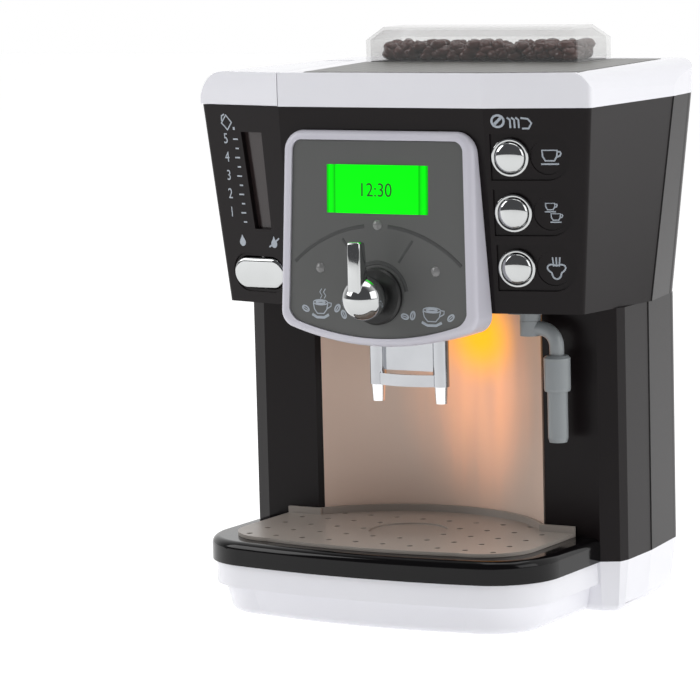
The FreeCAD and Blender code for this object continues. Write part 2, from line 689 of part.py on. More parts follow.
gauge_frame = wing_frame(-1, SIZES["gauge_x"], (SIZES["gauge_top"] + SIZES["gauge_bottom"]) / 2)
gauge_half = (s.gauge_top - s.gauge_bottom) / 2


def gauge_section(sketch, more):
    """The gauge window: its left side slants with the head's side."""
    outline(sketch, [
        (-s.gauge_half_bottom + s.gauge_slant - more, -gauge_half - more),
        (s.gauge_half_bottom + s.gauge_slant + more, -gauge_half - more),
        (s.gauge_half_top + more, gauge_half + more), (-s.gauge_half_top - more, gauge_half + more)])


sink(housing, gauge_frame, lambda sketch: gauge_section(sketch, as_size(0)), s.shell_wall * 2)

# Rear shell: the back of the head and of the lower body in one piece.
rear = new_body("rear_shell")
head_loft(rear)
rear_low = drawing(rear, out=s.base_top)
body_section(rear_low)
pad(rear, rear_low, s.head_bottom - s.base_top)
head_hollow(rear)
rear_hollow = drawing(rear, out=s.base_top + s.shell_wall)
body_section(rear_hollow, s.shell_wall)
cut(rear, rear_hollow, s.head_bottom - s.base_top, forward=True)
front_off = drawing(rear, "YZ", out=far)
outline(front_off, [(-far, 0), (s.seam_y_bottom, 0), (s.seam_y_bottom, s.head_bottom),
                    (s.seam_y_top, s.head_top), (-far, s.head_top)])
cut(rear, front_off)
speaker_frame = head_back_frame("speaker_z")
slot_half = s.speaker_radius / 2
for step in (-2, -1, 0, 1, 2):
    sink(rear, speaker_frame,
         lambda sketch: slot(sketch, -slot_half, slot_half, step * s.grille_slot * 4, s.grille_slot),
         s.shell_wall * 2)
back_plane = back_frame(0, 0)
grow(rear, back_plane, circles(rear_screw_spots, s.screw_boss), -s.shell_wall / 2,
     s.shell_wall * 1.5, back=True)
sink(rear, back_plane, circles(rear_screw_spots, s.screw_head + s.fit_gap), screw_seat)
sink(rear, back_plane, circles(rear_screw_spots, s.screw_shank + s.fit_gap), s.screw_boss * 2)
screws("rear_screws", back_plane, rear_screw_spots, outward=True)

# Battery box behind a door low on the back: four cells side by side between contact plates.
cell_pitch = s.battery_radius * 2 + s.battery_gap
box_half = cell_pitch * 2 + s.battery_gap / 2
box_high = s.battery_low + s.battery_length + s.contact_thick * 2
box_deep = s.battery_radius * 2 + s.battery_gap * 2
door_half = box_half + s.battery_wall
door_low = s.battery_low - s.battery_wall
door_high = box_high + s.battery_wall + s.screw_boss * 2
sink(rear, back_plane, lambda sketch: box(sketch, -door_half - s.fit_gap, door_half + s.fit_gap,
                                          door_low - s.fit_gap, door_high + s.fit_gap), s.shell_wall * 2)
inner_back = shift(back_plane, out=-s.shell_wall)
battery_box = new_body("battery_box", inner_back)
shell = drawing(battery_box)
box(shell, -door_half, door_half, door_low, door_high)
pad(battery_box, shell, box_deep + s.battery_wall, back=True)
flange = drawing(battery_box)
flange_half = door_half + s.door_ledge
box(flange, -flange_half, flange_half, door_low - s.door_ledge, door_high + s.door_ledge)
pad(battery_box, flange, s.battery_wall, back=True)
cells = drawing(battery_box)
box(cells, -box_half, box_half, s.battery_low, box_high)
cut(battery_box, cells, box_deep)
screw_spot = [(0, box_high + s.battery_wall + s.screw_boss)]
door_pilot = drawing(battery_box)
circles(screw_spot, s.screw_shank + s.shaft_gap)(door_pilot)
cut(battery_box, door_pilot, s.screw_length + s.shaft_gap)
batteries = new_body("batteries", shift(inner_back, y=s.battery_low + s.contact_thick), several=True)
ends = drawing(batteries, "XZ")
circles([((index - 1.5) * cell_pitch, -s.battery_gap - s.battery_radius) for index in range(4)],
        s.battery_radius)(ends)
pad(batteries, ends, s.battery_length, back=True)
contacts = new_body("battery_contacts", inner_back, several=True)
for height in (s.battery_low, box_high - s.contact_thick):
    strip = drawing(contacts)
    box(strip, s.battery_gap - box_half, box_half - s.battery_gap, height, height + s.contact_thick)
    pad(contacts, strip, box_deep - s.battery_gap, back=True)
door = new_body("battery_door", inner_back)
door_face = drawing(door)
box(door_face, -door_half, door_half, door_low, door_high)
pad(door, door_face, s.door_thick)
soften(door, s.door_thick, lambda edge, middle: abs(edge.BoundBox.ZLength - s.door_thick.number) < 0.01)
door_seat = shift(inner_back, out=s.door_thick)
sink(door, shift(FreeCAD.Placement(), out=s.door_thick), circles(screw_spot, s.screw_shank + s.fit_gap),
     s.door_thick)
screws("battery_door_screw", shift(door_seat, out=s.screw_sunk + s.screw_head_deep), screw_spot, outward=True)

# Speaker behind its slots.
speaker_back = s.speaker_deep - s.shell_wall
turned("speaker", shift(speaker_frame, out=-s.shell_wall - s.fit_gap), [
    (0, -s.speaker_deep), (s.speaker_radius / 2, -s.speaker_deep), (s.speaker_radius, -speaker_back),
    (s.speaker_radius, 0), (0, 0)])


def lid_side(level_y):
    """The top cover's left side at a depth y between the seam and the rear corner."""
    run = (s.seam_x_top - s.back_x_top) / (s.back_top_y - s.back_corner - s.seam_y_top)
    return s.seam_x_top + s.cover_overhang - run * (level_y - s.seam_y_top)


def side_round(body, side, run_front, run_back):
    """Round one long top side of the cover, more at the back than at the front."""
    edge_x = s.head_corner_x_top + s.cover_overhang
    low = s.cover_top - s.side_drop
    over = s.cover_top + s.cover_roof
    profiles = []
    for out, run in ((s.half_depth, run_front), (-s.half_depth - s.fit_gap, run_back)):
        bow = root(run * run + s.side_drop * s.side_drop) * ((math.sqrt(2) - 1) / 2 * side)
        profile = drawing(body, "XZ", out=out)
        outline(profile, [
            ((edge_x - run) * side, s.cover_top, bow), ((edge_x - run) * side, over), (far * side, over),
            (far * side, low), (edge_x * side, low)])
        profiles.append(profile)
    loft(body, profiles, hollow=True)


# White top cover with the deck that carries the tank, the hinge seats and two recesses.
lid_front = -s.head_front_top - s.cover_overhang
lid_back = s.lid_axis_y + s.hinge_round + s.lid_gap
hinge_front = s.lid_axis_y - s.hinge_round - s.lid_gap
wing_slope = (s.head_front_top - s.head_corner_y_top) / (s.head_corner_x_top - s.crease_x)
cover = new_body("top_cover")
cover_outline = drawing(cover, out=s.head_top)
head_section(cover_outline, "top", -s.cover_overhang)
pad(cover, cover_outline, s.cover_top - s.head_top)
lid_space = drawing(cover, out=s.head_top)
early = lid_front - s.side_drop
outline(lid_space, [
    (-far, early), (seam_at(early), early), (seam_at(hinge_front), hinge_front),
    (seam_at(hinge_front), lid_back), (-s.hinge_left_x - s.lid_gap, lid_back), (-s.hinge_left_x - s.lid_gap, s.lid_axis_y + s.lid_gap),
    (-far, s.lid_axis_y + s.lid_gap)])
cut(cover, lid_space, forward=True)
under_lid = s.cover_wall + s.lid_gap - s.cover_overhang
lid_deck = drawing(cover, out=s.head_top)
deck_back = lid_back + s.cover_wall
outline(lid_deck, [
    (under_lid - s.head_corner_x_top, under_lid * (1 - wing_slope) - s.head_corner_y_top),
    (-s.crease_x, under_lid - s.head_front_top), (s.hinge_seat - s.crease_x, under_lid - s.head_front_top),
    (seam_at(deck_back) + s.hinge_seat, deck_back), (s.cover_wall * 2 - s.seam_x_top, deck_back),
    (under_lid - s.seam_x_top, s.lid_axis_y)])
pad(cover, lid_deck, s.lid_deck)
axis_z = s.cover_top - s.hinge_round
seat_length = s.head_corner_x_top - s.hinge_left_x
hinge_ear = drawing(cover, "YZ", out=-s.hinge_left_x - s.lid_gap)
circle(hinge_ear, s.lid_axis_y, axis_z, s.hinge_round)
pad(cover, hinge_ear, seat_length, back=True)
side_round(cover, 1, s.side_run_front, s.side_run_back)
side_round(cover, -1, s.lid_side_run, s.lid_side_run)
cover_inside = drawing(cover, out=s.head_top)
seat_wall = s.hinge_seat + s.shell_wall
cover_back = s.back_top_y - s.back_corner / 2
outline(cover_inside, [
    (seat_wall - s.crease_x, s.cover_wall - s.head_front_top), (s.crease_x, s.cover_wall - s.head_front_top),
    (s.cover_inside_x, s.cover_wall - s.head_corner_y_top), (s.cover_inside_x, cover_back),
    (seam_at(cover_back) + seat_wall, cover_back)])
cut(cover, cover_inside, s.cover_top - s.head_top - s.cover_roof, forward=True)


def tank_section(sketch, grown):
    """The water tank's outline: its right side runs along the lid's slanting seam."""
    grown = as_size(grown)
    front, back = -s.tank_front - grown, s.tank_back + grown
    outline(sketch, [
        (-s.tank_left - grown, front), (seam_at(front) - s.tank_margin + grown, front),
        (seam_at(back) - s.tank_margin + grown, back), (-s.tank_left - grown, back)])


tank_hole = drawing(cover, out=s.head_top)
tank_section(tank_hole, s.fit_gap)
cut(cover, tank_hole, s.lid_deck, forward=True)
hopper_room = drawing(cover, out=s.cover_top)
box(hopper_room, -s.hopper_half - s.fit_gap / 2, s.hopper_half + s.fit_gap / 2,
    s.hopper_front - s.fit_gap / 2, s.hopper_back + s.fit_gap / 2)
cut(cover, hopper_room, s.hopper_sunk)


def plate_section(sketch, inset):
    """The cup plate's outline, round the hopper's front right corner."""
    inset = as_size(inset)
    front = s.plate_margin - s.head_front_top + inset
    beside = s.hopper_half + s.plate_wall + inset
    before = s.hopper_front - s.plate_wall - inset
    outline(sketch, [
        (inset - s.plate_left_front, front), (s.crease_x, front),
        (s.plate_right_front - inset, front + (s.plate_right_front - s.crease_x) * wing_slope),
        (s.plate_right_back - inset, s.plate_back - inset), (beside, s.plate_back - inset), (beside, before),
        (inset - s.plate_left_back, before)])


plate_room = drawing(cover, out=s.cover_top)
plate_section(plate_room, -s.fit_gap)
cut(cover, plate_room, s.plate_recess)
hinge_hole = drawing(cover, "YZ", out=-s.hinge_left_x - s.hinge_seat)
circle(hinge_hole, s.lid_axis_y, axis_z, s.hinge_pin + s.shaft_gap)
pin_length = s.hinge_left_x + s.hinge_seat * 2 + seam_at(s.lid_axis_y)
cut(cover, hinge_hole, pin_length, forward=True)

# Lid over the water tank, hinged at its back edge on a pin.
lid = new_body("tank_lid")
lid_low = s.head_top + s.fit_gap
lid_outline = drawing(lid, out=lid_low)
seam_gap = s.lid_gap
outline(lid_outline, [
    (-s.head_corner_x_top - s.cover_overhang, -s.head_corner_y_top - s.cover_overhang * (1 - wing_slope)),
    (seam_at(lid_front) - seam_gap, lid_front), (seam_at(s.lid_axis_y) - seam_gap, s.lid_axis_y),
    (-lid_side(s.lid_axis_y), s.lid_axis_y), (-s.seam_x_top - s.cover_overhang, s.seam_y_top)])
pad(lid, lid_outline, s.cover_top - lid_low)
side_round(lid, -1, s.lid_side_run, s.lid_side_run)
under_skirt = s.cover_wall - s.cover_overhang
open_back = s.lid_axis_y + s.hinge_seat
for inset, depth in ((under_skirt, s.cover_top - lid_low - s.side_drop / 2 - s.cover_wall),
                     (s.lid_side_run - s.cover_wall * 2, s.cover_top - lid_low - s.cover_roof)):
    hollow = drawing(lid, out=lid_low)
    outline(hollow, [
        (inset - s.head_corner_x_top, under_skirt - s.head_corner_y_top - inset * wing_slope),
        (-s.crease_x, under_skirt - s.head_front_top), (0, under_skirt - s.head_front_top), (0, open_back),
        (inset - s.head_corner_x_top + s.cover_overhang, open_back)])
    cut(lid, hollow, depth, forward=True)
ear_room = drawing(lid, "YZ", out=-s.hinge_left_x)
circle(ear_room, s.lid_axis_y, axis_z, s.hinge_round + s.lid_gap * 3)
cut(lid, ear_room, seat_length * 2)
barrel = drawing(lid, "YZ", out=-s.hinge_left_x)
circle(barrel, s.lid_axis_y, axis_z, s.hinge_round)
barrel_length = s.hinge_left_x + seam_at(hinge_front) - seam_gap
pad(lid, barrel, barrel_length)
barrel_bore = drawing(lid, "YZ", out=-s.hinge_left_x)
circle(barrel_bore, s.lid_axis_y, axis_z, s.hinge_pin + s.shaft_gap)
cut(lid, barrel_bore, pin_length, forward=True)
hinge_pin = new_body("lid_hinge_pin")
pin_end = drawing(hinge_pin, "YZ", out=-s.hinge_left_x - s.hinge_seat)
circle(pin_end, s.lid_axis_y, axis_z, s.hinge_pin)
pad(hinge_pin, pin_end, pin_length)

# Water tank hanging by its flange from the deck under the lid.
tank = new_body("water_tank")
tank_top = s.head_top + s.lid_deck
tank_outline = drawing(tank, out=s.tank_low)
tank_section(tank_outline, 0)
pad(tank, tank_outline, tank_top - s.tank_low)
soften(tank, s.tank_wall * 2, lambda edge, middle: edge.BoundBox.ZLength > 20)
flange_outline = drawing(tank, out=tank_top)
tank_section(flange_outline, s.tank_flange)
pad(tank, flange_outline, s.tank_flange)
tank_hollow = drawing(tank, out=s.tank_low + s.tank_wall)
tank_section(tank_hollow, -s.tank_wall)
cut(tank, tank_hollow, forward=True)

# Grey cup plate let into the top cover.
cup_plate = new_body("cup_plate")
cup_outline = drawing(cup_plate, out=s.cover_top - s.plate_recess)
plate_section(cup_outline, 0)
pad(cup_plate, cup_outline, s.plate_thick)

# Clear hopper with a bevelled top, the tray under it and the moulded heap of beans.
hopper = new_body("bean_hopper")


def hopper_box(body, inset, low, wall_top, top, bevel, hollow):
    """A box with a bevelled top, as material or as the room inside."""
    half, front, back = s.hopper_half - inset, s.hopper_front + inset, s.hopper_back - inset
    side = drawing(body, out=wall_top)
    box(side, -half, half, front, back)
    if hollow:
        cut(body, side, wall_top - low)
    else:
        pad(body, side, wall_top - low, back=True)
    rim_outline = drawing(body, out=wall_top)
    box(rim_outline, -half, half, front, back)
    top_outline = drawing(body, out=top)
    box(top_outline, bevel - half, half - bevel, front + bevel, back - bevel)
    loft(body, [rim_outline, top_outline], hollow=hollow)


hopper_low = s.cover_top - s.hopper_sunk
hopper_box(hopper, as_size(0), hopper_low, s.hopper_wall_top, s.hopper_top, s.hopper_chamfer, False)
hopper_box(hopper, s.hopper_wall, hopper_low, s.hopper_wall_top, s.hopper_top - s.hopper_wall,
           s.hopper_chamfer - s.hopper_wall, True)
bean_tray = new_body("bean_tray")
bean_floor = drawing(bean_tray, out=hopper_low)
room = s.hopper_wall + s.fit_gap
box(bean_floor, room - s.hopper_half, s.hopper_half - room, s.hopper_front + room, s.hopper_back - room)
pad(bean_tray, bean_floor, s.bean_tray_thick)
beans = new_body("bean_load")
heap_low = hopper_low + s.bean_tray_thick
heap = drawing(beans, "XZ", out=-s.hopper_back + room * 2)
heap_half = s.hopper_half - room * 2
outline(heap, [(-heap_half, heap_low), (heap_half, heap_low), (heap_half, heap_low + s.bean_rise),
               (-heap_half, heap_low + s.bean_rise, s.bean_crown)])
pad(beans, heap, s.hopper_back - s.hopper_front - room * 4)
soften(beans, s.bean_rise / 2, lambda edge, middle: middle.z > heap_low.number + s.bean_rise.number / 2
       and edge.BoundBox.XLength > 10)

# Control pod: a light bezel whose back lies on the head's leaning front.
pod_place = pod_frame()
bezel = new_body("panel_bezel", pod_place)
pod_deep = s.pod_face_bottom - s.head_front_bottom + s.shell_wall
bezel_outline = drawing(bezel, out=-pod_deep)
pod_section(bezel_outline)
pad(bezel, bezel_outline, pod_deep)
soften(bezel, s.pod_round, lambda edge, middle: edge.BoundBox.ZMin > -0.01)
pod_lean = (s.pod_face_bottom - s.pod_face_top) / (s.pod_top - s.pod_foot_z)
head_lean = (s.head_front_top - s.head_front_bottom) / (s.head_top - s.head_bottom)


def pod_back(height, flat):
    """How far behind the pod's face the head's front lies at a height, or its lower edge does."""
    front = s.head_front_bottom if flat else s.head_front_top - head_lean * (s.head_top - height)
    return front - (s.pod_face_bottom - pod_lean * (height - s.pod_foot_z))


back_cut = drawing(bezel, "YZ", out=far)
below_pod = s.head_bottom - s.pod_face_top
outline(back_cut, [
    (s.head_top, pod_back(s.head_top, False)), (s.head_bottom, pod_back(s.head_bottom, False)),
    (below_pod, pod_back(below_pod, True)), (below_pod, -far), (s.head_top, -far)])
cut(bezel, back_cut)
panel_back = s.panel_drop + s.panel_thick
local = FreeCAD.Placement()
sink(bezel, local, lambda sketch: pod_section(sketch, s.pod_rim), panel_back)
sink(bezel, local, works_opening, far)
sink(bezel, local, circles([(0, s.knob_z)], s.switch_radius + s.fit_gap),
     panel_back + s.switch_deep + s.fit_gap)

# Dark control panel with the holes for the display, three lights and the knob's shaft.
panel = new_body("control_panel", pod_place)
panel_outline = drawing(panel, out=-panel_back)
pod_section(panel_outline, s.pod_rim + s.fit_gap)
pad(panel, panel_outline, s.panel_thick)
display_low = s.display_z - s.display_height / 2
sink(panel, local, lambda sketch: box(sketch, -s.display_half - s.shaft_gap, s.display_half + s.shaft_gap,
                                      display_low - s.shaft_gap,
                                      display_low + s.display_height + s.shaft_gap), far)
light_turn = math.radians(SIZES["light_angle"])
light_spots = {
    "indicator_left": (-s.light_ring * math.sin(light_turn), s.knob_z + s.light_ring * math.cos(light_turn)),
    "indicator_top": (as_size(0), s.knob_z + s.light_ring),
    "indicator_right": (s.light_ring * math.sin(light_turn), s.knob_z + s.light_ring * math.cos(light_turn)),
}
sink(panel, local, circles(light_spots.values(), s.light_radius + s.shaft_gap), far)
sink(panel, local, circles([(0, s.knob_z)], s.shaft_radius + s.shaft_gap), far)

# Display: a crowned window in front and its module behind the panel.
display_place = pod_frame(0, s.display_z)
window = new_body("lcd_window", display_place)
crown_profile = drawing(window, "XZ")
outline(crown_profile, [(-s.display_half, -panel_back), (s.display_half, -panel_back),
                        (s.display_half, -s.panel_drop), (-s.display_half, -s.panel_drop, s.display_crown)])
pad(window, crown_profile, s.display_height, middle=True)
module = new_body("lcd_module", display_place)
module_face = drawing(module, out=-panel_back)
module_half = s.display_height / 2 + s.shell_wall
box(module_face, -s.display_half - s.shell_wall, s.display_half + s.shell_wall, -module_half, module_half)
pad(module, module_face, s.display_deep, back=True)

# Three domed indicator lights.
for name, (x, height) in light_spots.items():
    turned(name, pod_frame(x, height), [
        (0, -panel_back), (s.light_radius, -panel_back), (s.light_radius, -s.panel_drop),
        (0, -s.panel_drop + s.light_rise, dome_bow(s.light_radius, s.light_rise))])

# Selector: a black ring, the chrome ball with its lever, the shaft and the switch it turns.
knob_place = pod_frame(0, s.knob_z)
ring_top = s.ring_height - s.panel_drop
turned("knob_ring", knob_place, [
    (s.shaft_radius + s.shaft_gap, -s.panel_drop), (s.ring_radius, -s.panel_drop),
    (s.ring_radius, ring_top - s.panel_drop), (s.ring_radius - s.panel_drop, ring_top),
    (s.shaft_radius + s.shaft_gap, ring_top)])
neck_low = ring_top + s.fit_gap
grip_top = neck_low + s.shaft_grip
ball_side = s.knob_reach - root(s.knob_ball * s.knob_ball - s.knob_neck * s.knob_neck)
ball_top = s.knob_reach + s.knob_ball
ball_chord = root(s.knob_neck * s.knob_neck + (ball_top - ball_side) * (ball_top - ball_side))
ball_bow = s.knob_ball - root(s.knob_ball * s.knob_ball - ball_chord * ball_chord / 4)
knob = turned("selector_knob", knob_place, [
    (s.shaft_radius + s.shaft_gap, neck_low), (s.knob_neck, neck_low), (s.knob_neck, ball_side),
    (0, ball_top, ball_bow), (0, grip_top), (s.shaft_radius + s.shaft_gap, grip_top)])
lever = drawing(knob, "YZ")
lever_front = ball_top + s.lever_lean / 2
outline(lever, [
    (s.lever_lean, s.knob_reach), (s.lever_length, lever_front - s.lever_thick),
    (s.lever_length, lever_front, s.lever_thick / 4), (-s.lever_lean / 2, lever_front, -s.lever_lean / 4),
    (-s.lever_lean, s.knob_reach)])
pad(knob, lever, s.lever_width, middle=True)
turned("knob_shaft", knob_place, [
    (0, -panel_back - s.shaft_grip), (s.shaft_radius, -panel_back - s.shaft_grip),
    (s.shaft_radius, grip_top), (0, grip_top)])
turned("selector_switch", knob_place, [
    (0, -panel_back - s.switch_deep), (s.switch_radius, -panel_back - s.switch_deep),
    (s.switch_radius, -panel_back), (s.shaft_radius + s.shaft_gap, -panel_back),
    (s.shaft_radius + s.shaft_gap, -panel_back - s.shaft_grip - s.fit_gap),
    (0, -panel_back - s.shaft_grip - s.fit_gap)])

# Push buttons: a chrome dome on a stem, sliding in a collar set in the wing.
collar_inner = s.button_radius + s.fit_gap
collar_floor = -s.pocket_deep - s.button_travel * 2
for name, place in zip(("cup", "two_cups", "steam"), button_frames):
    turned("button_" + name, place, [
        (0, collar_floor - s.button_travel), (s.button_stem, collar_floor - s.button_travel),
        (s.button_stem, collar_floor + s.button_travel + s.fit_gap),
        (s.button_radius, collar_floor + s.button_travel + s.fit_gap), (s.button_radius, s.collar_proud),
        (0, s.button_proud, dome_bow(s.button_radius, s.button_proud - s.collar_proud))])
    turned("collar_" + name, place, [
        (s.button_stem + s.shaft_gap, collar_floor - s.collar_proud),
        (s.collar_radius - s.collar_proud, collar_floor - s.collar_proud),
        (s.collar_radius - s.collar_proud, -s.pocket_deep), (s.collar_radius, -s.pocket_deep),
        (s.collar_radius, s.collar_proud / 2), (s.collar_radius - s.collar_proud / 2, s.collar_proud),
        (collar_inner, s.collar_proud), (collar_inner, collar_floor),
        (s.button_stem + s.shaft_gap, collar_floor)])
board = new_body("switch_board", board_frame)
board_outline = drawing(board, out=-s.board_back)
board_half = s.button_radius + s.collar_proud
box(board_outline, -board_half, board_half, -s.button_pitch - board_half, s.button_pitch + board_half)
pad(board, board_outline, s.board_thick)
switches = new_body("tact_switches", board_frame, several=True)
switch_feet = drawing(switches, out=s.board_thick - s.board_back)
for spot in board_spots:
    half = s.button_stem + s.collar_proud / 2
    box(switch_feet, spot.x - half, spot.x + half, spot.y - half, spot.y + half)
stem_room = s.board_back - s.board_thick + collar_floor - s.button_travel * 2 - s.fit_gap
pad(switches, switch_feet, stem_room)

# Rocker switch: a chrome pill on a cross pin, its left end standing out at rest.
rocker_place = tilt(shift(rocker_frame, out=-pin_depth), SIZES["rocker_tilt"])
rocker = new_body("rocker_switch", rocker_place)
rocker_outline = drawing(rocker, out=-s.rocker_pin * 2)
slot(rocker_outline, -rocker_end, rocker_end, 0, s.rocker_radius - s.rocker_gap)
pad(rocker, rocker_outline, s.rocker_pin * 2 + pin_depth + s.rocker_proud)
top_level = pin_depth.number + s.rocker_proud.number
soften(rocker, s.rocker_proud, lambda edge, middle: edge.BoundBox.ZMin > top_level - 0.01)
sink(rocker, shift(upright(FreeCAD.Placement()), out=s.rocker_radius),
     circles([(0, 0)], s.rocker_pin + s.shaft_gap), s.rocker_radius * 2, above=0.0)
rocker_pin = new_body("rocker_pin", pin_frame)
pin_circle = drawing(rocker_pin)
circle(pin_circle, 0, 0, s.rocker_pin)
pad(rocker_pin, pin_circle, lug_span * 2, middle=True)

# Smoked pane behind the gauge opening.
gauge = new_body("gauge_window", gauge_frame)
pane = drawing(gauge, out=-s.shell_wall - s.fit_gap / 2)
gauge_section(pane, s.gauge_deep)
pad(gauge, pane, s.gauge_deep, back=True)

# Chrome spout: two round posts, a plate between them and a bowed bar across their feet.
spout = new_body("spout_body")
posts = drawing(spout, out=s.post_low)
circles([(-s.post_x, -s.spout_y), (s.post_x, -s.spout_y)], s.post_radius)(posts)
spout_plate = drawing(spout, out=s.spout_plate_low)
box(spout_plate, -s.post_x, s.post_x, -s.spout_y, s.spout_plate - s.spout_y)
pad(spout, spout_plate, s.head_bottom - s.spout_plate_low)
pad(spout, posts, s.head_bottom - s.post_low)
bar = drawing(spout, out=s.post_low)
bar_front = -s.spout_y - s.bar_wall
outline(bar, [(-s.post_x, bar_front), (s.post_x, bar_front, s.bar_bow), (s.post_x, -s.spout_y),
              (-s.post_x, -s.spout_y, -s.bar_bow)])
pad(spout, bar, s.bar_height)
for name, side in (("nozzle_left", -1), ("nozzle_right", 1)):
    post_foot = FreeCAD.Vector(side * SIZES["post_x"], -SIZES["spout_y"], 0)
    turned(name, FreeCAD.Placement(post_foot, FreeCAD.Rotation()), [
        (s.nozzle_bore, s.nozzle_low), (s.nozzle_tip, s.nozzle_low), (s.nozzle_top, s.post_low),
        (s.nozzle_bore, s.post_low)])

# Steam wand: a fixed mount, and an arm with collar and tube that swings about its pin.
wand_place = FreeCAD.Placement(FreeCAD.Vector(SIZES["wand_x"], -SIZES["wand_y"], 0), FreeCAD.Rotation())
mount = new_body("wand_mount", wand_place)
mount_outline = drawing(mount, out=s.head_bottom)
box(mount_outline, -s.mount_half, s.mount_half, -s.mount_half, s.mount_half)
pad(mount, mount_outline, s.mount_plate, back=True)
hub = drawing(mount, out=s.head_bottom - s.mount_plate)
circle(hub, 0, 0, s.swivel_radius)
pad(mount, hub, s.head_bottom - s.mount_plate - s.mount_low, back=True)
pin_bore = drawing(mount, out=s.mount_low)
circle(pin_bore, 0, 0, s.swivel_pin + s.shaft_gap)
pin_rise = s.head_bottom - s.mount_plate - s.mount_low
cut(mount, pin_bore, pin_rise, forward=True)
arm = new_body("wand_arm", wand_place)
barrel_top = s.mount_low - s.fit_gap / 2
swivel = drawing(arm, out=s.swivel_low)
circle(swivel, 0, 0, s.swivel_radius)
pad(arm, swivel, barrel_top - s.swivel_low)
swivel_pin = drawing(arm, out=barrel_top)
circle(swivel_pin, 0, 0, s.swivel_pin)
pad(arm, swivel_pin, pin_rise)
arm_z = s.swivel_low + s.arm_radius
reach = drawing(arm, "YZ")
circle(reach, 0, arm_z, s.arm_radius)
pad(arm, reach, s.wand_reach - s.arm_bend)
elbow = drawing(arm, "YZ", out=s.wand_reach - s.arm_bend)
circle(elbow, 0, arm_z, s.arm_radius)
path = drawing(arm, "XZ")
start = FreeCAD.Vector(SIZES["wand_reach"] - SIZES["arm_bend"], arm_z.number, 0)
centre = start - FreeCAD.Vector(0, SIZES["arm_bend"], 0)
bend_circle = Part.Circle(centre, FreeCAD.Vector(0, 0, 1), SIZES["arm_bend"])
path.addGeometry(Part.ArcOfCircle(bend_circle, 0, math.pi / 2))
hold(path, "DistanceX", -1, 1, 0, 3, value=s.wand_reach - s.arm_bend)
hold(path, "DistanceY", -1, 1, 0, 3, value=arm_z - s.arm_bend)
hold(path, "Radius", 0, value=s.arm_bend)
hold(path, "Vertical", 0, 3, 0, 2)
hold(path, "Horizontal", 0, 3, 0, 1)
bend = arm.newObject("PartDesign::AdditivePipe", "wand_arm_bend")
bend.Profile = elbow
bend.Spine = path
drop = drawing(arm, out=arm_z - s.arm_bend)
circle(drop, s.wand_reach, 0, s.arm_radius)
pad(arm, drop, arm_z - s.arm_bend - s.wand_top, back=True)
tube_place = shift(wand_place, x=s.wand_reach)
turned("wand_collar", tube_place, [
    (0, s.collar_low), (s.wand_collar_radius - s.fit_gap, s.collar_low),
    (s.wand_collar_radius, s.collar_low + s.fit_gap * 4), (s.wand_collar_radius, s.wand_top - s.fit_gap * 4),
    (s.wand_collar_radius - s.fit_gap * 4, s.wand_top), (0, s.wand_top)])
turned("wand_tube", tube_place, [
    (s.tube_bore, s.tube_low), (s.tube_radius - s.fit_gap * 2, s.tube_low),
    (s.tube_radius, s.tube_low + s.tube_bore), (s.tube_radius, s.collar_low), (s.tube_bore, s.collar_low)])

# Black drip tray that slides on the deck, its back filling the round bay.
tray = new_body("drip_tray")
tray_low = s.base_top + s.slide_gap
tray_top = tray_low + s.tray_height
tray_back = -s.column_front - s.fit_gap
tray_outline = drawing(tray, out=tray_low)
tray_section(tray_outline, s.tray_half, s.half_depth, tray_back)
pad(tray, tray_outline, s.tray_height)
soften(tray, s.tray_round, lambda edge, middle: edge.BoundBox.ZMin > tray_top.number - 0.01
       and middle.y < tray_back.number - 1)
bay_back = drawing(tray, out=tray_low)
bay_segment(bay_back, s.bay_radius - s.tray_gap, tray_back - s.shell_wall)
pad(tray, bay_back, s.tray_height)
bowl_low = tray_low + s.bowl_floor
bowl = drawing(tray, out=bowl_low)
bowl_back = tray_back - s.shell_wall * 2
tray_section(bowl, s.bowl_half, s.bowl_front, bowl_back)
cut(tray, bowl, s.tray_height, forward=True)
bowl_bay = drawing(tray, out=bowl_low)
bowl_wall = s.bay_radius - s.tray_gap - s.shell_wall
bay_segment(bowl_bay, bowl_wall, bowl_back - s.shell_wall)
cut(tray, bowl_bay, s.tray_height, forward=True)

# Perforated grate that lies on the tray, with a back lip and a skirt that keeps it in place.
grate = new_body("drip_grate")
grate_low = tray_top + s.slide_gap
grate_outline = drawing(grate, out=grate_low)
grate_back = tray_back - s.fit_gap
tray_section(grate_outline, s.grate_half, s.grate_front, grate_back)
pad(grate, grate_outline, s.grate_plate)
grate_radius = s.bay_radius - s.tray_gap - s.fit_gap
grate_bay = drawing(grate, out=grate_low)
bay_segment(grate_bay, grate_radius, grate_back - s.shell_wall)
pad(grate, grate_bay, s.grate_plate)
lip_height = s.grate_plate + s.grate_lip
lip = drawing(grate, out=grate_low)
bay_band(lip, grate_radius - s.grate_lip_wall, grate_radius, grate_back)
pad(grate, lip, lip_height)
lip_in = root(grate_radius * grate_radius - (s.bay_centre + grate_back) * (s.bay_centre + grate_back))
lip_edge = lip_in - s.grate_lip_wall
for left, right in ((-s.grate_half, -lip_edge), (lip_edge, s.grate_half)):
    wing_lip = drawing(grate, out=grate_low)
    box(wing_lip, left, right, grate_back - s.grate_lip_wall, grate_back)
    pad(grate, wing_lip, lip_height)
skirt = drawing(grate, out=grate_low)
tray_section(skirt, s.bowl_half - s.fit_gap * 2, s.bowl_front - s.fit_gap * 2, bowl_back - s.fit_gap * 2)
pad(grate, skirt, s.grate_skirt, back=True)
skirt_room = drawing(grate, out=grate_low)
skirt_in = s.fit_gap * 2 + s.grate_lip_wall
tray_section(skirt_room, s.bowl_half - skirt_in, s.bowl_front - skirt_in, bowl_back - skirt_in)
cut(grate, skirt_room, s.grate_skirt)
ring_sketch = drawing(grate, out=grate_low + s.grate_plate)
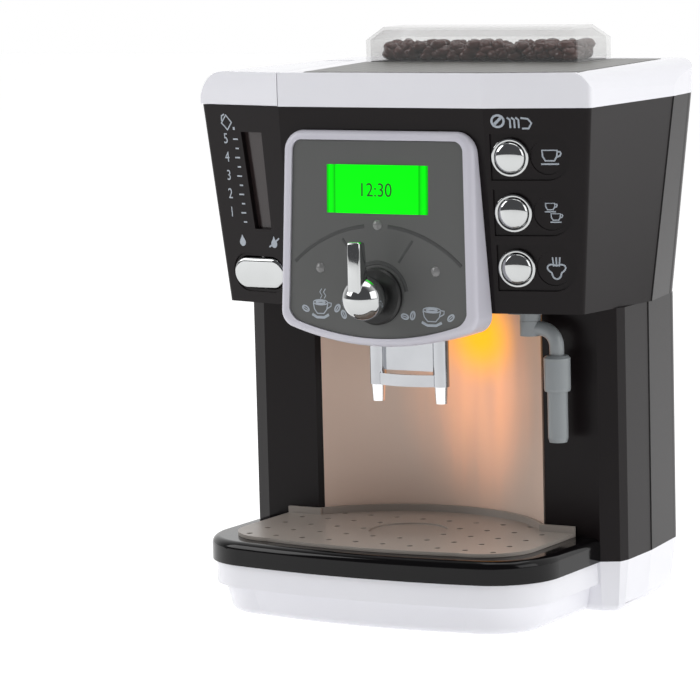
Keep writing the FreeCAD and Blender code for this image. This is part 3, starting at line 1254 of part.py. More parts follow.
circle(ring_sketch, 0, -s.cup_ring_y, s.cup_ring)
cut(grate, ring_sketch, s.cup_ring_depth)
hole_spots = []
for column in range(-5, 5):
    for row in range(5):
        x, y = s.hole_pitch_x * (column + 0.5), -s.hole_pitch_y * (row + 0.2)
        clear = s.cup_ring.number + s.grate_hole.number * 2
        outside = math.hypot(x.number, y.number + SIZES["cup_ring_y"]) > clear
        deep_enough = y.number < grate_back.number - SIZES["grate_lip"] or abs(x.number) < SIZES["crease_x"]
        if outside and deep_enough and abs(x.number) < SIZES["grate_half"]:
            hole_spots.append((x, y))
holes = drawing(grate, out=grate_low + s.grate_plate)
circles(hole_spots, s.grate_hole)(holes)
cut(grate, holes)

# Lamp on its board, close behind the frosted panel.
lamp_y = s.bay_radius + s.panel_wall - s.bay_centre + s.shell_wall
lamp_board = new_body("lamp_board")
lamp_sheet = drawing(lamp_board, "XZ", out=-lamp_y)
board_top = s.head_bottom - s.shell_wall
lamp_left, lamp_right = s.lamp_x - s.lamp_board_half, s.lamp_x + s.lamp_board_half
box(lamp_sheet, lamp_left, lamp_right, s.lamp_z - s.lamp_board_half, board_top)
pad(lamp_board, lamp_sheet, s.board_thick, back=True)
lamp_place = frame_at(FreeCAD.Vector(SIZES["lamp_x"], lamp_y.number, SIZES["lamp_z"]),
                      FreeCAD.Vector(1, 0, 0), FreeCAD.Vector(0, -1, 0))
turned("lamp", lamp_place, [
    (0, 0), (s.lamp_radius, 0), (s.lamp_radius, s.lamp_radius / 4),
    (0, s.lamp_radius * 0.75, dome_bow(s.lamp_radius, s.lamp_radius / 2))])

# Circuit board standing on the head's floor, and the small pump beside it.
floor = s.head_bottom + s.shell_wall
circuit = new_body("circuit_board")
circuit_sheet = drawing(circuit, "XZ", out=-s.circuit_y)
box(circuit_sheet, -s.circuit_half, s.circuit_half, floor, floor + s.circuit_high)
pad(circuit, circuit_sheet, s.board_thick, back=True)
pump = new_body("pump")
pump_end = drawing(pump, "YZ", out=s.pump_x - s.pump_length / 2)
circle(pump_end, -s.pump_y, floor + s.pump_radius, s.pump_radius)
pad(pump, pump_end, s.pump_length)
foot_sketch = drawing(pump, "YZ", out=s.pump_x - s.pump_length / 2)
foot_half = s.pump_radius / 2
box(foot_sketch, -s.pump_y - foot_half, foot_half - s.pump_y, floor, floor + foot_half)
pad(pump, foot_sketch, s.pump_length)

# Every object has to be sound before anything is written.
doc.recompute()
failed = [item.Label for item in doc.Objects if "Invalid" in item.State or "Error" in item.State]
failed += [name for name, body in bodies.items()
           if body.Shape.isNull() or not body.Shape.isValid() or not body.Shape.Solids]
if failed:
    raise RuntimeError("unsound: " + ", ".join(failed))
os.makedirs("parts", exist_ok=True)
for name, body in bodies.items():
    body.Shape.exportStep(f"parts/{name}.step")
    print(f"{name}: {len(body.Shape.Solids)} solid(s), {body.Shape.Volume / 1000:.2f} cm3")
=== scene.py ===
import math
import random

import bpy
from mathutils import Matrix, Vector


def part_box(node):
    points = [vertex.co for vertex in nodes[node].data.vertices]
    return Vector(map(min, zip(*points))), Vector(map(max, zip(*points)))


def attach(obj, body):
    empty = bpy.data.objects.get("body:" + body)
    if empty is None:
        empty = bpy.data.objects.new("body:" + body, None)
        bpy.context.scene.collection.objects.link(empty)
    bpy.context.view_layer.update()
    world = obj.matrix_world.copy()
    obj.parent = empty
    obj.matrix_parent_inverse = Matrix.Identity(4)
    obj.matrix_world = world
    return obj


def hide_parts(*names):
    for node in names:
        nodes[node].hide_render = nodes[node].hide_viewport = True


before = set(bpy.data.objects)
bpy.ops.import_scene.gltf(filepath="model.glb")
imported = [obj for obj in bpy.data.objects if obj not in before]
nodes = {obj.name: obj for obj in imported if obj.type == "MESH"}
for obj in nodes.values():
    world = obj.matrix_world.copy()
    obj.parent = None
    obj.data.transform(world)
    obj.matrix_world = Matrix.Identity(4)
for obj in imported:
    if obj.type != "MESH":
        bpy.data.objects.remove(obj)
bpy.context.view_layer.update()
mm = 0.001

# White base block: one glossy injection moulding, open underneath, with the deck for the
# tray in front. A flat grey plate closes it from below and four plated screws hold that.
moulding = bpy.data.node_groups.new("moulded_surface", "ShaderNodeTree")
moulding.interface.new_socket("Cloud size", in_out="INPUT", socket_type="NodeSocketFloat")
moulding.interface.new_socket("Grain size", in_out="INPUT", socket_type="NodeSocketFloat")
moulding.interface.new_socket("Cloud", in_out="OUTPUT", socket_type="NodeSocketFloat")
moulding.interface.new_socket("Grain", in_out="OUTPUT", socket_type="NodeSocketFloat")
inlet = moulding.nodes.new("NodeGroupInput")
outlet = moulding.nodes.new("NodeGroupOutput")
where = moulding.nodes.new("ShaderNodeTexCoord")
for kind, detail in (("Cloud", 3.0), ("Grain", 2.0)):
    noise = moulding.nodes.new("ShaderNodeTexNoise")
    noise.inputs["Detail"].default_value = detail
    moulding.links.new(where.outputs["Object"], noise.inputs["Vector"])
    moulding.links.new(inlet.outputs[kind + " size"], noise.inputs["Scale"])
    moulding.links.new(noise.outputs["Fac"], outlet.inputs[kind])


def blend(tree, share, under, over):
    """Two colours mixed by a mask. Each is a plain colour, or comes from another node."""
    mix = tree.nodes.new("ShaderNodeMix")
    mix.data_type = "RGBA"
    tree.links.new(share, mix.inputs[0])
    for slot, colour in ((6, under), (7, over)):
        if isinstance(colour, tuple):
            mix.inputs[slot].default_value = (*colour, 1)
        else:
            tree.links.new(colour, mix.inputs[slot])
    return mix.outputs[2]


def shader_of(finish):
    """The shader of a finish, for the values that only it needs."""
    return finish.node_tree.nodes["Principled BSDF"]


def plastic(name, dark, light, rough, cloud=18.0, grain=1600.0, relief=0.08, specular=0.5):
    """Moulded plastic: two close shades in soft clouds, and a fine grain in gloss and height."""
    finish = bpy.data.materials.new(name)
    finish.use_nodes = True
    tree = finish.node_tree
    shader = shader_of(finish)
    shader.inputs["Specular IOR Level"].default_value = specular
    surface = tree.nodes.new("ShaderNodeGroup")
    surface.node_tree = moulding
    surface.inputs["Cloud size"].default_value = cloud
    surface.inputs["Grain size"].default_value = grain
    tree.links.new(blend(tree, surface.outputs["Cloud"], dark, light), shader.inputs["Base Color"])
    gloss = tree.nodes.new("ShaderNodeMapRange")
    gloss.inputs["To Min"].default_value = rough * 0.85
    gloss.inputs["To Max"].default_value = rough * 1.15
    tree.links.new(surface.outputs["Grain"], gloss.inputs["Value"])
    tree.links.new(gloss.outputs["Result"], shader.inputs["Roughness"])
    bump = tree.nodes.new("ShaderNodeBump")
    bump.inputs["Strength"].default_value = relief
    bump.inputs["Distance"].default_value = 0.05 * mm
    tree.links.new(surface.outputs["Grain"], bump.inputs["Height"])
    tree.links.new(bump.outputs["Normal"], shader.inputs["Normal"])
    return finish


def zinc(name, dark, light, rough, relief=0.03):
    """Plated metal, with faint clouds in the plating."""
    finish = plastic(name, dark, light, rough, cloud=60.0, relief=relief)
    shader_of(finish).inputs["Metallic"].default_value = 1.0
    return finish


def dress(finish, *names):
    """Give CAD nodes their finish."""
    for name in names:
        nodes[name].data.materials.clear()
        nodes[name].data.materials.append(finish)


white_moulding = plastic("white_moulding", (0.80, 0.80, 0.85), (0.86, 0.86, 0.90), 0.22, relief=0.03)
shader_of(white_moulding).inputs["Coat Weight"].default_value = 0.3
grey_inside = plastic("grey_inside", (0.30, 0.30, 0.31), (0.36, 0.36, 0.37), 0.5)
screw_zinc = zinc("screw_zinc", (0.55, 0.55, 0.56), (0.68, 0.68, 0.68), 0.3)
dress(white_moulding, "base_shell")
dress(grey_inside, "base_plate")
dress(screw_zinc, "base_screws")

# Dark body: the two columns, the front of the head and the back shell are satin brown-black
# mouldings. The back shell is screwed to posts inside the columns.
body_plastic = plastic("body_plastic", (0.0060, 0.0040, 0.0045), (0.0090, 0.0064, 0.0070), 0.30,
                       grain=2600.0, relief=0.22, specular=0.17)
dress(body_plastic, "column_shell", "front_housing", "rear_shell", "battery_door")
dress(screw_zinc, "rear_screws", "battery_door_screw")

# Parting line between the front and the back shell: a fine dark groove down each side,
# slanting on the head and upright on the columns.
head_seam = ((102.75, 49.8, 237.0), (100.55, 27.0, 142.6))
column_seam = ((98.75, 27.0, 142.6), (98.75, 27.0, 24.4))
seam_width = 0.9


def clear_selection():
    """Nothing is left selected, so that a new piece starts alone."""
    bpy.ops.object.select_all(action="DESELECT")


def stroke(name, points, width, place, closed=False, flat=0.35):
    """A thin raised line through points on a face, as a printed or moulded line."""
    clear_selection()
    bpy.ops.curve.primitive_nurbs_path_add()
    line = bpy.context.object
    line.name = name
    line.data.splines.clear()
    run = line.data.splines.new("POLY")
    run.points.add(len(points) - 1)
    for point, spot in zip(run.points, points):
        height = spot[2] if len(spot) > 2 else 0.0
        point.co = (spot[0] * mm, spot[1] * mm, height * mm / flat, 1)
    run.use_cyclic_u = closed
    line.data.bevel_depth = width * mm / 2
    line.data.bevel_resolution = 2
    line.data.use_fill_caps = not closed
    bpy.ops.object.convert(target="MESH")
    line = bpy.context.object
    line.matrix_world = place @ Matrix.Diagonal((1, 1, flat, 1))
    bpy.ops.object.transform_apply()
    return line


def joined(name, pieces, finish, body):
    """Several like pieces made one, with its finish and the body it rides on."""
    clear_selection()
    for piece in pieces:
        piece.select_set(True)
    bpy.context.view_layer.objects.active = pieces[0]
    if len(pieces) > 1:
        bpy.ops.object.join()
    whole = bpy.context.view_layer.objects.active
    whole.name = name
    whole.data.materials.clear()
    whole.data.materials.append(finish)
    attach(whole, body)
    return whole


seam_dark = plastic("seam_dark", (0.0015, 0.0012, 0.0012), (0.003, 0.0025, 0.0025), 0.8)
seam_lines = []
for side in (-1, 1):
    for name, run in (("head", head_seam), ("column", column_seam)):
        ends = [(side * x, y, z) for x, y, z in run]
        seam_lines.append(stroke(f"seam_{name}_{side}", ends, seam_width, Matrix.Identity(4), flat=1.0))
joined("parting_lines", seam_lines, seam_dark, "machine")

# Battery box: black moulding with four plain cells between plated strips, behind its door.
# The speaker sits higher up behind the slots.
works_black = plastic("works_black", (0.010, 0.010, 0.011), (0.020, 0.020, 0.021), 0.5)
cell_sleeve = plastic("cell_sleeve", (0.30, 0.20, 0.04), (0.42, 0.29, 0.07), 0.3)
strip_brass = zinc("strip_brass", (0.62, 0.45, 0.16), (0.75, 0.58, 0.25), 0.28)
dress(works_black, "battery_box", "speaker")
dress(cell_sleeve, "batteries")
dress(strip_brass, "battery_contacts")

# Frosted panel in the round bay: milky plastic. The lamp behind it makes a yellow-orange
# spot right of the spout that runs down in soft streaks.
spot_centre, spot_reach = (0.014, 0.020, 0.124), (0.030, 0.5, 0.030)
haze_centre, haze_reach = (0.012, 0.020, 0.106), (0.046, 0.9, 0.078)
frosted = plastic("frosted_panel", (0.76, 0.60, 0.50), (0.84, 0.67, 0.57), 0.42, cloud=25.0, relief=0.05)
tree = frosted.node_tree
lit = shader_of(frosted)
panel_where = tree.nodes.new("ShaderNodeTexCoord")


def glow_mask(centre, reach, fade):
    """A soft mask on the frosted panel: full at its centre and gone at its reach."""
    stretch = tree.nodes.new("ShaderNodeMapping")
    stretch.vector_type = "TEXTURE"
    stretch.inputs["Location"].default_value = centre
    stretch.inputs["Scale"].default_value = reach
    away = tree.nodes.new("ShaderNodeVectorMath")
    away.operation = "LENGTH"
    mask = tree.nodes.new("ShaderNodeMapRange")
    mask.interpolation_type = fade
    mask.inputs["From Min"].default_value = 1.0
    mask.inputs["From Max"].default_value = 0.0
    tree.links.new(panel_where.outputs["Object"], stretch.inputs["Vector"])
    tree.links.new(stretch.outputs["Vector"], away.inputs[0])
    tree.links.new(away.outputs["Value"], mask.inputs["Value"])
    return mask.outputs["Result"]


core = glow_mask(spot_centre, spot_reach, "SMOOTHERSTEP")
haze = glow_mask(haze_centre, haze_reach, "SMOOTHSTEP")
streak_place = tree.nodes.new("ShaderNodeMapping")
streak_place.inputs["Scale"].default_value = (70.0, 6.0, 7.0)
streak = tree.nodes.new("ShaderNodeTexNoise")
streak.inputs["Scale"].default_value = 1.0
tree.links.new(panel_where.outputs["Object"], streak_place.inputs["Vector"])
tree.links.new(streak_place.outputs["Vector"], streak.inputs["Vector"])
streaked = tree.nodes.new("ShaderNodeMath")
streaked.operation = "MULTIPLY"
tree.links.new(haze, streaked.inputs[0])
tree.links.new(streak.outputs["Fac"], streaked.inputs[1])
soft_glow = blend(tree, streaked.outputs["Value"], (0.0, 0.0, 0.0), (1.5, 0.42, 0.04))
tree.links.new(blend(tree, core, soft_glow, (1.6, 0.60, 0.0)), lit.inputs["Emission Color"])
lit.inputs["Emission Strength"].default_value = 0.75
milky = lit.inputs["Base Color"].links[0].from_socket
tree.links.new(blend(tree, core, milky, (0.90, 0.40, 0.0)), lit.inputs["Base Color"])
dress(frosted, "light_panel")

# Works inside: green circuit boards, an amber lamp, black switches and a grey pump. They
# are fixed to posts and walls, and show only when a cover or the lid is off.
board_green = plastic("board_green", (0.006, 0.06, 0.022), (0.012, 0.10, 0.035), 0.35)
amber_lamp = plastic("amber_lamp", (0.85, 0.45, 0.06), (0.95, 0.60, 0.10), 0.2)
dress(board_green, "lamp_board", "circuit_board", "switch_board")
dress(amber_lamp, "lamp")
dress(works_black, "tact_switches", "selector_switch", "lcd_module", "knob_shaft", "bean_tray")
dress(grey_inside, "pump")

# White top cover and the lid over the water tank, hinged at its back on a steel pin. The
# tank is clear and hangs from the deck under the lid. The bean hopper is clear too.
clear_plastic = plastic("clear_plastic", (0.66, 0.66, 0.65), (0.74, 0.74, 0.73), 0.08, relief=0.0)
tree = clear_plastic.node_tree
rim = tree.nodes.new("ShaderNodeLayerWeight")
rim.inputs["Blend"].default_value = 0.35
thickness = tree.nodes.new("ShaderNodeMapRange")
thickness.inputs["To Min"].default_value = 0.07
thickness.inputs["To Max"].default_value = 0.45
tree.links.new(rim.outputs["Facing"], thickness.inputs["Value"])
tree.links.new(thickness.outputs["Result"], shader_of(clear_plastic).inputs["Alpha"])
dress(white_moulding, "top_cover", "tank_lid")
dress(screw_zinc, "lid_hinge_pin", "rocker_pin")
dress(clear_plastic, "water_tank", "bean_hopper")

# Cup plate on top: a dark olive-grey moulding let into the cover. Staggered rows of short
# dimples cover it, drawn only as painted shade: darker spots in its colour, with no relief.
dimple_step_x, dimple_step_y = 4.5 * mm, 4.0 * mm
dimple_long, dimple_wide = 2.0 * mm, 0.9 * mm
plate_plastic = plastic("plate_plastic", (0.085, 0.085, 0.080), (0.12, 0.12, 0.11), 0.38)
tree = plate_plastic.node_tree
plate_where = tree.nodes.new("ShaderNodeTexCoord")
nearest = tree.nodes.new("ShaderNodeMath")
nearest.operation = "MINIMUM"
for index, shift in enumerate(((0.0, 0.0), (dimple_step_x, dimple_step_y))):
    move = tree.nodes.new("ShaderNodeMapping")
    move.inputs["Location"].default_value = (*shift, 0.0)
    wrap = tree.nodes.new("ShaderNodeVectorMath")
    wrap.operation = "WRAP"
    wrap.inputs[1].default_value = (dimple_step_x, dimple_step_y, 1.0)
    wrap.inputs[2].default_value = (-dimple_step_x, -dimple_step_y, -1.0)
    squash = tree.nodes.new("ShaderNodeVectorMath")
    squash.operation = "MULTIPLY"
    squash.inputs[1].default_value = (1 / dimple_long, 1 / dimple_wide, 0.0)
    reach = tree.nodes.new("ShaderNodeVectorMath")
    reach.operation = "LENGTH"
    tree.links.new(plate_where.outputs["Object"], move.inputs["Vector"])
    tree.links.new(move.outputs["Vector"], wrap.inputs[0])
    tree.links.new(wrap.outputs["Vector"], squash.inputs[0])
    tree.links.new(squash.outputs["Vector"], reach.inputs[0])
    tree.links.new(reach.outputs["Value"], nearest.inputs[index])
# Painted shade: the colour goes dark inside each dimple instead of the dimple being cut.
dimple = tree.nodes.new("ShaderNodeMapRange")
dimple.inputs["From Min"].default_value = 0.75
dimple.inputs["From Max"].default_value = 1.1
tree.links.new(nearest.outputs["Value"], dimple.inputs["Value"])
dimple_painted_shade = blend(tree, dimple.outputs["Result"], (0.030, 0.030, 0.028), (0.150, 0.148, 0.138))
tree.links.new(dimple_painted_shade, shader_of(plate_plastic).inputs["Base Color"])
dress(plate_plastic, "cup_plate")

# Beans: one moulded heap in the real toy, shown here bean by bean. Each is a flat-topped
# oval of dark red-brown plastic, and they lie at random under the clear hopper.
bean_long, bean_wide, bean_high = 4.6, 3.4, 2.6
bean_edge, layer_rise = 4.8, 2.2
bean_layers = ((15, 5), (14, 4), (12, 3))
bean_plastic = plastic("bean_plastic", (0.045, 0.009, 0.006), (0.100, 0.024, 0.016), 0.24, cloud=120.0)


def pick(piece, wanted):
    """Select only the vertices that answer to a rule, and stay in edit mode."""
    bpy.ops.object.mode_set(mode="EDIT")
    bpy.ops.mesh.select_mode(type="VERT")
    bpy.ops.mesh.select_all(action="DESELECT")
    bpy.ops.object.mode_set(mode="OBJECT")
    for vertex in piece.data.vertices:
        vertex.select = wanted(vertex.co)
    bpy.ops.object.mode_set(mode="EDIT")


clear_selection()
bpy.ops.mesh.primitive_uv_sphere_add(segments=12, ring_count=7, radius=1.0)
bean = bpy.context.object
pick(bean, lambda spot: abs(spot.y) < 0.1 and spot.z > 0.1)
bpy.ops.transform.translate(value=(0, 0, -0.3))
bpy.ops.mesh.select_all(action="SELECT")
bpy.ops.transform.resize(value=(bean_long * mm, bean_wide * mm, bean_high * mm), center_override=(0, 0, 0))
bpy.ops.object.mode_set(mode="OBJECT")
bpy.ops.object.shade_smooth()
heap_low, heap_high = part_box("bean_load")
heap_span = heap_high - heap_low
chance = random.Random(11)
beans = []
for layer, (count_x, count_y) in enumerate(bean_layers):
    for i in range(count_x):
        for j in range(count_y):
            x = heap_low.x + heap_span.x * (i + 0.5 + chance.uniform(-0.3, 0.3)) / count_x
            y = heap_low.y + heap_span.y * (j + 0.5 + chance.uniform(-0.3, 0.3)) / count_y
            z = heap_low.z + (bean_high + layer * layer_rise + chance.uniform(-0.5, 0.5)) * mm
            x = max(heap_low.x + bean_edge * mm, min(heap_high.x - bean_edge * mm, x))
            y = max(heap_low.y + bean_edge * mm, min(heap_high.y - bean_edge * mm, y))
            copy = bean.copy()
            copy.data = bean.data.copy()
            bpy.context.collection.objects.link(copy)
            turn = Matrix.Rotation(chance.uniform(0, math.tau), 4, "Z")
            lean = Matrix.Rotation(chance.uniform(-0.7, 0.7), 4, "X")
            copy.data.transform(Matrix.Translation((x, y, z)) @ turn @ lean)
            beans.append(copy)
bpy.data.objects.remove(bean)
bean_heap = joined("bean_heap", beans, bean_plastic, "machine")
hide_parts("bean_load")

# Control pod: a light grey-lilac bezel round a mid grey panel with rounded corners, both
# moulded. Three small domed lenses sit in the panel.
bezel_plastic = plastic("bezel_plastic", (0.56, 0.55, 0.62), (0.62, 0.61, 0.67), 0.32, relief=0.04)
dress(bezel_plastic, "panel_bezel")
panel_plastic = plastic("panel_plastic", (0.088, 0.090, 0.088), (0.104, 0.106, 0.104), 0.36, relief=0.12)
dress(panel_plastic, "control_panel")
lens_plastic = plastic("lens_plastic", (0.16, 0.16, 0.16), (0.24, 0.24, 0.24), 0.12)
dress(lens_plastic, "indicator_left", "indicator_top", "indicator_right")

# Grooves of the panel: a wide arc broken at the top light, a short arc round the knob and
# a tick on each side of the lever, all moulded in. They are drawn as flat lines in a darker
# colour, painted shade in place of the recesses. The pod's face leans back a little: its
# places are counted from the centre line and up along the face.
pod_top, pod_foot, face_top, face_bottom = 226.7, 134.4, 52.6, 56.2
pod_lean = (face_bottom - face_top) / (pod_top - pod_foot)
pod_out = Vector((0, -1, pod_lean)).normalized()
pod_right = Vector((1, 0, 0))
panel_sunk = -0.9
knob_height = 150.4
wide_height, wide_radius = 119.0, 64.0


def face_place(point, right, out):
    """A place on a face: x runs to the right, y up the face and z straight out."""
    up = out.cross(right)
    place = Matrix((right, up, out)).transposed().to_4x4()
    place.translation = point * mm
    return place


def on_pod(x, height, out=panel_sunk):
    """A place on the pod's face, which the panel lies a little behind."""
    start = Vector((0, -face_bottom - pod_foot * pod_lean, 0))
    up = pod_out.cross(pod_right)
    return face_place(start + pod_right * x + up * height + pod_out * out, pod_right, pod_out)


panel_face = on_pod(0, 0)
# Painted shade: the grooves are only lines of darker colour on the face, not real recesses.
groove_painted_shade = plastic("groove_painted_shade", (0.040, 0.041, 0.041), (0.052, 0.053, 0.053), 0.45)
grooves = []
for name, centre, radius, start, end, width in (
        ("wide_left", wide_height, wide_radius, -43.5, -6.2, 1.7),
        ("wide_right", wide_height, wide_radius, 5.0, 43.5, 1.7),
        ("short", knob_height, 15.6, -82.0, 80.0, 2.0)):
    arc = []
    for step in range(25):
        angle = math.radians(start + (end - start) * step / 24)
        arc.append((radius * math.sin(angle), centre + radius * math.cos(angle)))
    grooves.append(stroke("groove_" + name, arc, width, panel_face, flat=0.12))
for side in (-1, 1):
    ends = [(side * 18.6, 176.6), (side * 11.2, 166.3)]
    grooves.append(stroke(f"tick_{side}", ends, 1.3, panel_face, flat=0.12))
joined("panel_grooves", grooves, groove_painted_shade, "machine")

# Display: a clear crowned window, lit evenly green from behind, with darker bands where it
# curves back at both sides. Plain figures stand on it in dark green.
display_height, display_half = 199.2, 26.8
screen_green = plastic("screen_green", (0.0, 0.30, 0.0), (0.0, 0.36, 0.0), 0.12, relief=0.0)
tree = screen_green.node_tree
screen_shader = shader_of(screen_green)
screen_where = tree.nodes.new("ShaderNodeTexCoord")
apart = tree.nodes.new("ShaderNodeSeparateXYZ")
off_centre = tree.nodes.new("ShaderNodeMath")
off_centre.operation = "ABSOLUTE"
bands = tree.nodes.new("ShaderNodeValToRGB")
ramp = bands.color_ramp
ramp.elements[0].position, ramp.elements[0].color = 0.0, (0.0, 1.0, 0.004, 1)
ramp.elements[1].position, ramp.elements[1].color = 0.80, (0.0, 0.92, 0.004, 1)
for position, green in ((0.835, 0.30), (0.86, 0.62), (0.93, 0.85), (0.975, 0.45), (1.0, 0.18)):
    stop = ramp.elements.new(position)
    stop.color = (0.0, green, 0.004, 1)
reach = tree.nodes.new("ShaderNodeMath")
reach.operation = "DIVIDE"
reach.inputs[1].default_value = display_half * mm
tree.links.new(screen_where.outputs["Object"], apart.inputs["Vector"])
tree.links.new(apart.outputs["X"], off_centre.inputs[0])
tree.links.new(off_centre.outputs["Value"], reach.inputs[0])
tree.links.new(reach.outputs["Value"], bands.inputs["Fac"])
tree.links.new(bands.outputs["Color"], screen_shader.inputs["Emission Color"])
screen_shader.inputs["Emission Strength"].default_value = 0.95
dress(screen_green, "lcd_window")
figure_green = plastic("figure_green", (0.0, 0.055, 0.0), (0.0, 0.08, 0.0), 0.4)


def lettered(name, words, size, place, wide=1.0):
    """Plain figures as a thin raised mesh, centred on a place."""
    clear_selection()
    bpy.ops.object.text_add()
    sign = bpy.context.object
    sign.name = name
    sign.data.body = words
    sign.data.size = size * mm
    sign.data.align_x = "CENTER"
    sign.data.align_y = "CENTER"
    sign.data.extrude = 0.05 * mm
    bpy.ops.object.convert(target="MESH")
    sign = bpy.context.object
    sign.matrix_world = place @ Matrix.Diagonal((wide, 1, 1, 1))
    bpy.ops.object.transform_apply()
    return sign


joined("display_figures", [lettered("figures", "12:30", 9.0, on_pod(-0.5, display_height, 0.03), 0.9)],
       figure_green, "machine")

# Printed signs of the panel: a steaming cup on the left, a full cup on the right, each on
# a saucer with loose beans beside it, in light blue-grey ink.
ink = plastic("sign_ink", (0.34, 0.38, 0.43), (0.42, 0.46, 0.51), 0.5)
ink_flat = 0.15


def oval(x, y, wide, high, place, width=0.5, lean=0.0, steps=14):
    """A printed oval, leaning by an angle in degrees."""
    spots = []
    tilt = math.radians(lean)
    for step in range(steps):
        angle = math.tau * step / steps
        px, py = wide * math.cos(angle), high * math.sin(angle)
        spots.append((x + px * math.cos(tilt) - py * math.sin(tilt),
                      y + px * math.sin(tilt) + py * math.cos(tilt)))
    return stroke("oval", spots, width, place, True, flat=ink_flat)


def panel_line(name, x, y, steps, width, flat=ink_flat):
    """A printed line on the panel, through points counted from a middle."""
    return stroke(name, [(x + px, y + py) for px, py in steps], width, panel_face, flat=flat)


signs = []
for x, y, lean in ((-38.5, 143.5, -30), (-21.4, 144.2, 55), (-18.0, 141.4, -65),
                   (14.5, 141.6, -15), (18.6, 142.2, 75), (38.6, 141.8, 40)):
    signs.append(oval(x, y, 1.9, 1.1, panel_face, 0.75, lean))
    px, py = 1.4 * math.cos(math.radians(lean)), 1.4 * math.sin(math.radians(lean))
    signs.append(panel_line("crease", x, y, ((-px, -py), (px, py)), 0.5))
for x, y, wide in ((-30.5, 146.6, 3.9), (28.6, 145.0, 4.6)):
    signs.append(oval(x, y, wide, 1.2, panel_face, 0.55))
    signs.append(oval(x, y, wide * 0.6, 0.6, panel_face, 0.9))
    bowl = ((-wide, -0.4), (-wide * 0.85, -3.2), (-wide * 0.45, -5.2),
            (wide * 0.45, -5.2), (wide * 0.85, -3.2), (wide, -0.4))
    ear = ((wide, 0.0), (wide + 1.9, -0.2), (wide + 1.7, -1.7), (wide * 0.85, -3.0))
    saucer = ((-wide - 0.6, -5.6), (-wide * 0.5, -7.0), (wide * 0.5, -7.0), (wide + 0.6, -5.6))
    signs.append(panel_line("bowl", x, y, bowl, 0.55))
    signs.append(panel_line("ear", x, y, ear, 0.55))
    signs.append(panel_line("saucer", x, y, saucer, 1.3, flat=0.10))
for x in (-30.6, -28.6):
    steam = ((0.0, 148.4), (0.9, 149.8), (-0.3, 151.4), (0.7, 153.0))
    signs.append(panel_line("steam", x, 0.0, steam, 0.45))
joined("panel_signs", signs, ink, "machine")

# Selector: black ring, and a chromed knob that is a ball with a flat lever rising from it.
# It turns on the shaft through the panel.
ball_radius, ball_centre = 10.3, 11.6
lever_wide, lever_long, lever_deep = 6.8, 25.0, 6.0
lever_up, lever_out, lever_round = 13.8, 19.0, 1.3
chrome = zinc("chrome", (0.50, 0.51, 0.51), (0.58, 0.59, 0.59), 0.06, relief=0.01)
ring_black = plastic("ring_black", (0.008, 0.008, 0.008), (0.014, 0.014, 0.014), 0.35)
dress(ring_black, "knob_ring")


def turned_piece(name, place, profile, steps=72):
    """A round piece drawn up from its foot: each step is a radius and a height."""
    clear_selection()
    radius, level = profile[0]
    bpy.ops.mesh.primitive_circle_add(vertices=steps, radius=radius * mm, fill_type="NGON",
                                      location=(0, 0, level * mm))
    piece = bpy.context.object
    piece.name = name
    bpy.ops.object.transform_apply()
    bpy.ops.object.mode_set(mode="EDIT")
    for next_radius, next_level in profile[1:]:
        bpy.ops.mesh.extrude_region_move(
            TRANSFORM_OT_translate={"value": (0, 0, (next_level - level) * mm)})
        factor = next_radius / radius
        bpy.ops.transform.resize(value=(factor, factor, 1), center_override=(0, 0, next_level * mm))
        radius, level = next_radius, next_level
    bpy.ops.mesh.select_all(action="SELECT")
    bpy.ops.mesh.normals_make_consistent(inside=False)
    bpy.ops.object.mode_set(mode="OBJECT")
    bpy.ops.object.shade_smooth_by_angle(angle=math.radians(35))
    piece.matrix_world = place
    bpy.ops.object.transform_apply()
    return piece


def ball_steps(radius, centre, start, end, steps):
    """Profile of a ball between two latitudes, in degrees."""
    made = []
    for step in range(steps + 1):
        angle = math.radians(start + (end - start) * step / steps)
        made.append((max(radius * math.cos(angle), 0.05), centre + radius * math.sin(angle)))
    return made


knob_ball = turned_piece("knob_ball", on_pod(0, knob_height, 0),
                         [(6.0, 2.0)] + ball_steps(ball_radius, ball_centre, -54, 90, 30), 96)
clear_selection()
bpy.ops.mesh.primitive_cube_add(size=1.0)
lever = bpy.context.object
bpy.ops.object.mode_set(mode="EDIT")
bpy.ops.transform.resize(value=(lever_wide * mm, lever_long * mm, lever_deep * mm), center_override=(0, 0, 0))
bpy.ops.transform.translate(value=(0, lever_up * mm, lever_out * mm))
bpy.ops.object.mode_set(mode="OBJECT")
pick(lever, lambda spot: spot.y < 5 * mm)
bpy.ops.transform.translate(value=(0, 0, -1.2 * mm))
bpy.ops.transform.resize(value=(1.0, 1.0, 1.5), center_override=(0, 0, 20 * mm))
bpy.ops.object.mode_set(mode="OBJECT")
round_off = lever.modifiers.new("round_off", "BEVEL")
round_off.width = lever_round * mm
round_off.segments = 5
bpy.ops.object.modifier_apply(modifier="round_off")
bpy.ops.object.shade_smooth_by_angle(angle=math.radians(35))
lever.matrix_world = on_pod(0, knob_height, 0)
bpy.ops.object.transform_apply()
knob = joined("selector_lever_knob", [knob_ball, lever], chrome, "knob")
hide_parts("selector_knob")

# Push buttons on the right wing: a chromed dome in a chromed collar, three of them one
# above the other. Each slides straight into the wing.
head_top, head_bottom = 237.1, 142.6
crease_x, front_top, front_bottom, corner_x, corner_y = 54.0, 49.5, 40.5, 103.0, 38.9
button_across, cup_height, two_cups_height, steam_height = 65.4, 214.8, 189.3, 163.8
dome_radius, dome_foot, dome_rise = 7.0, 1.0, 2.4
collar_profile = [
    (7.8, -7.2), (7.8, -1.2), (8.8, -1.2), (8.8, 0.45), (8.65, 0.8), (8.3, 1.0), (7.7, 1.0), (7.4, 0.85),
    (7.3, 0.5), (7.3, -6.2)]


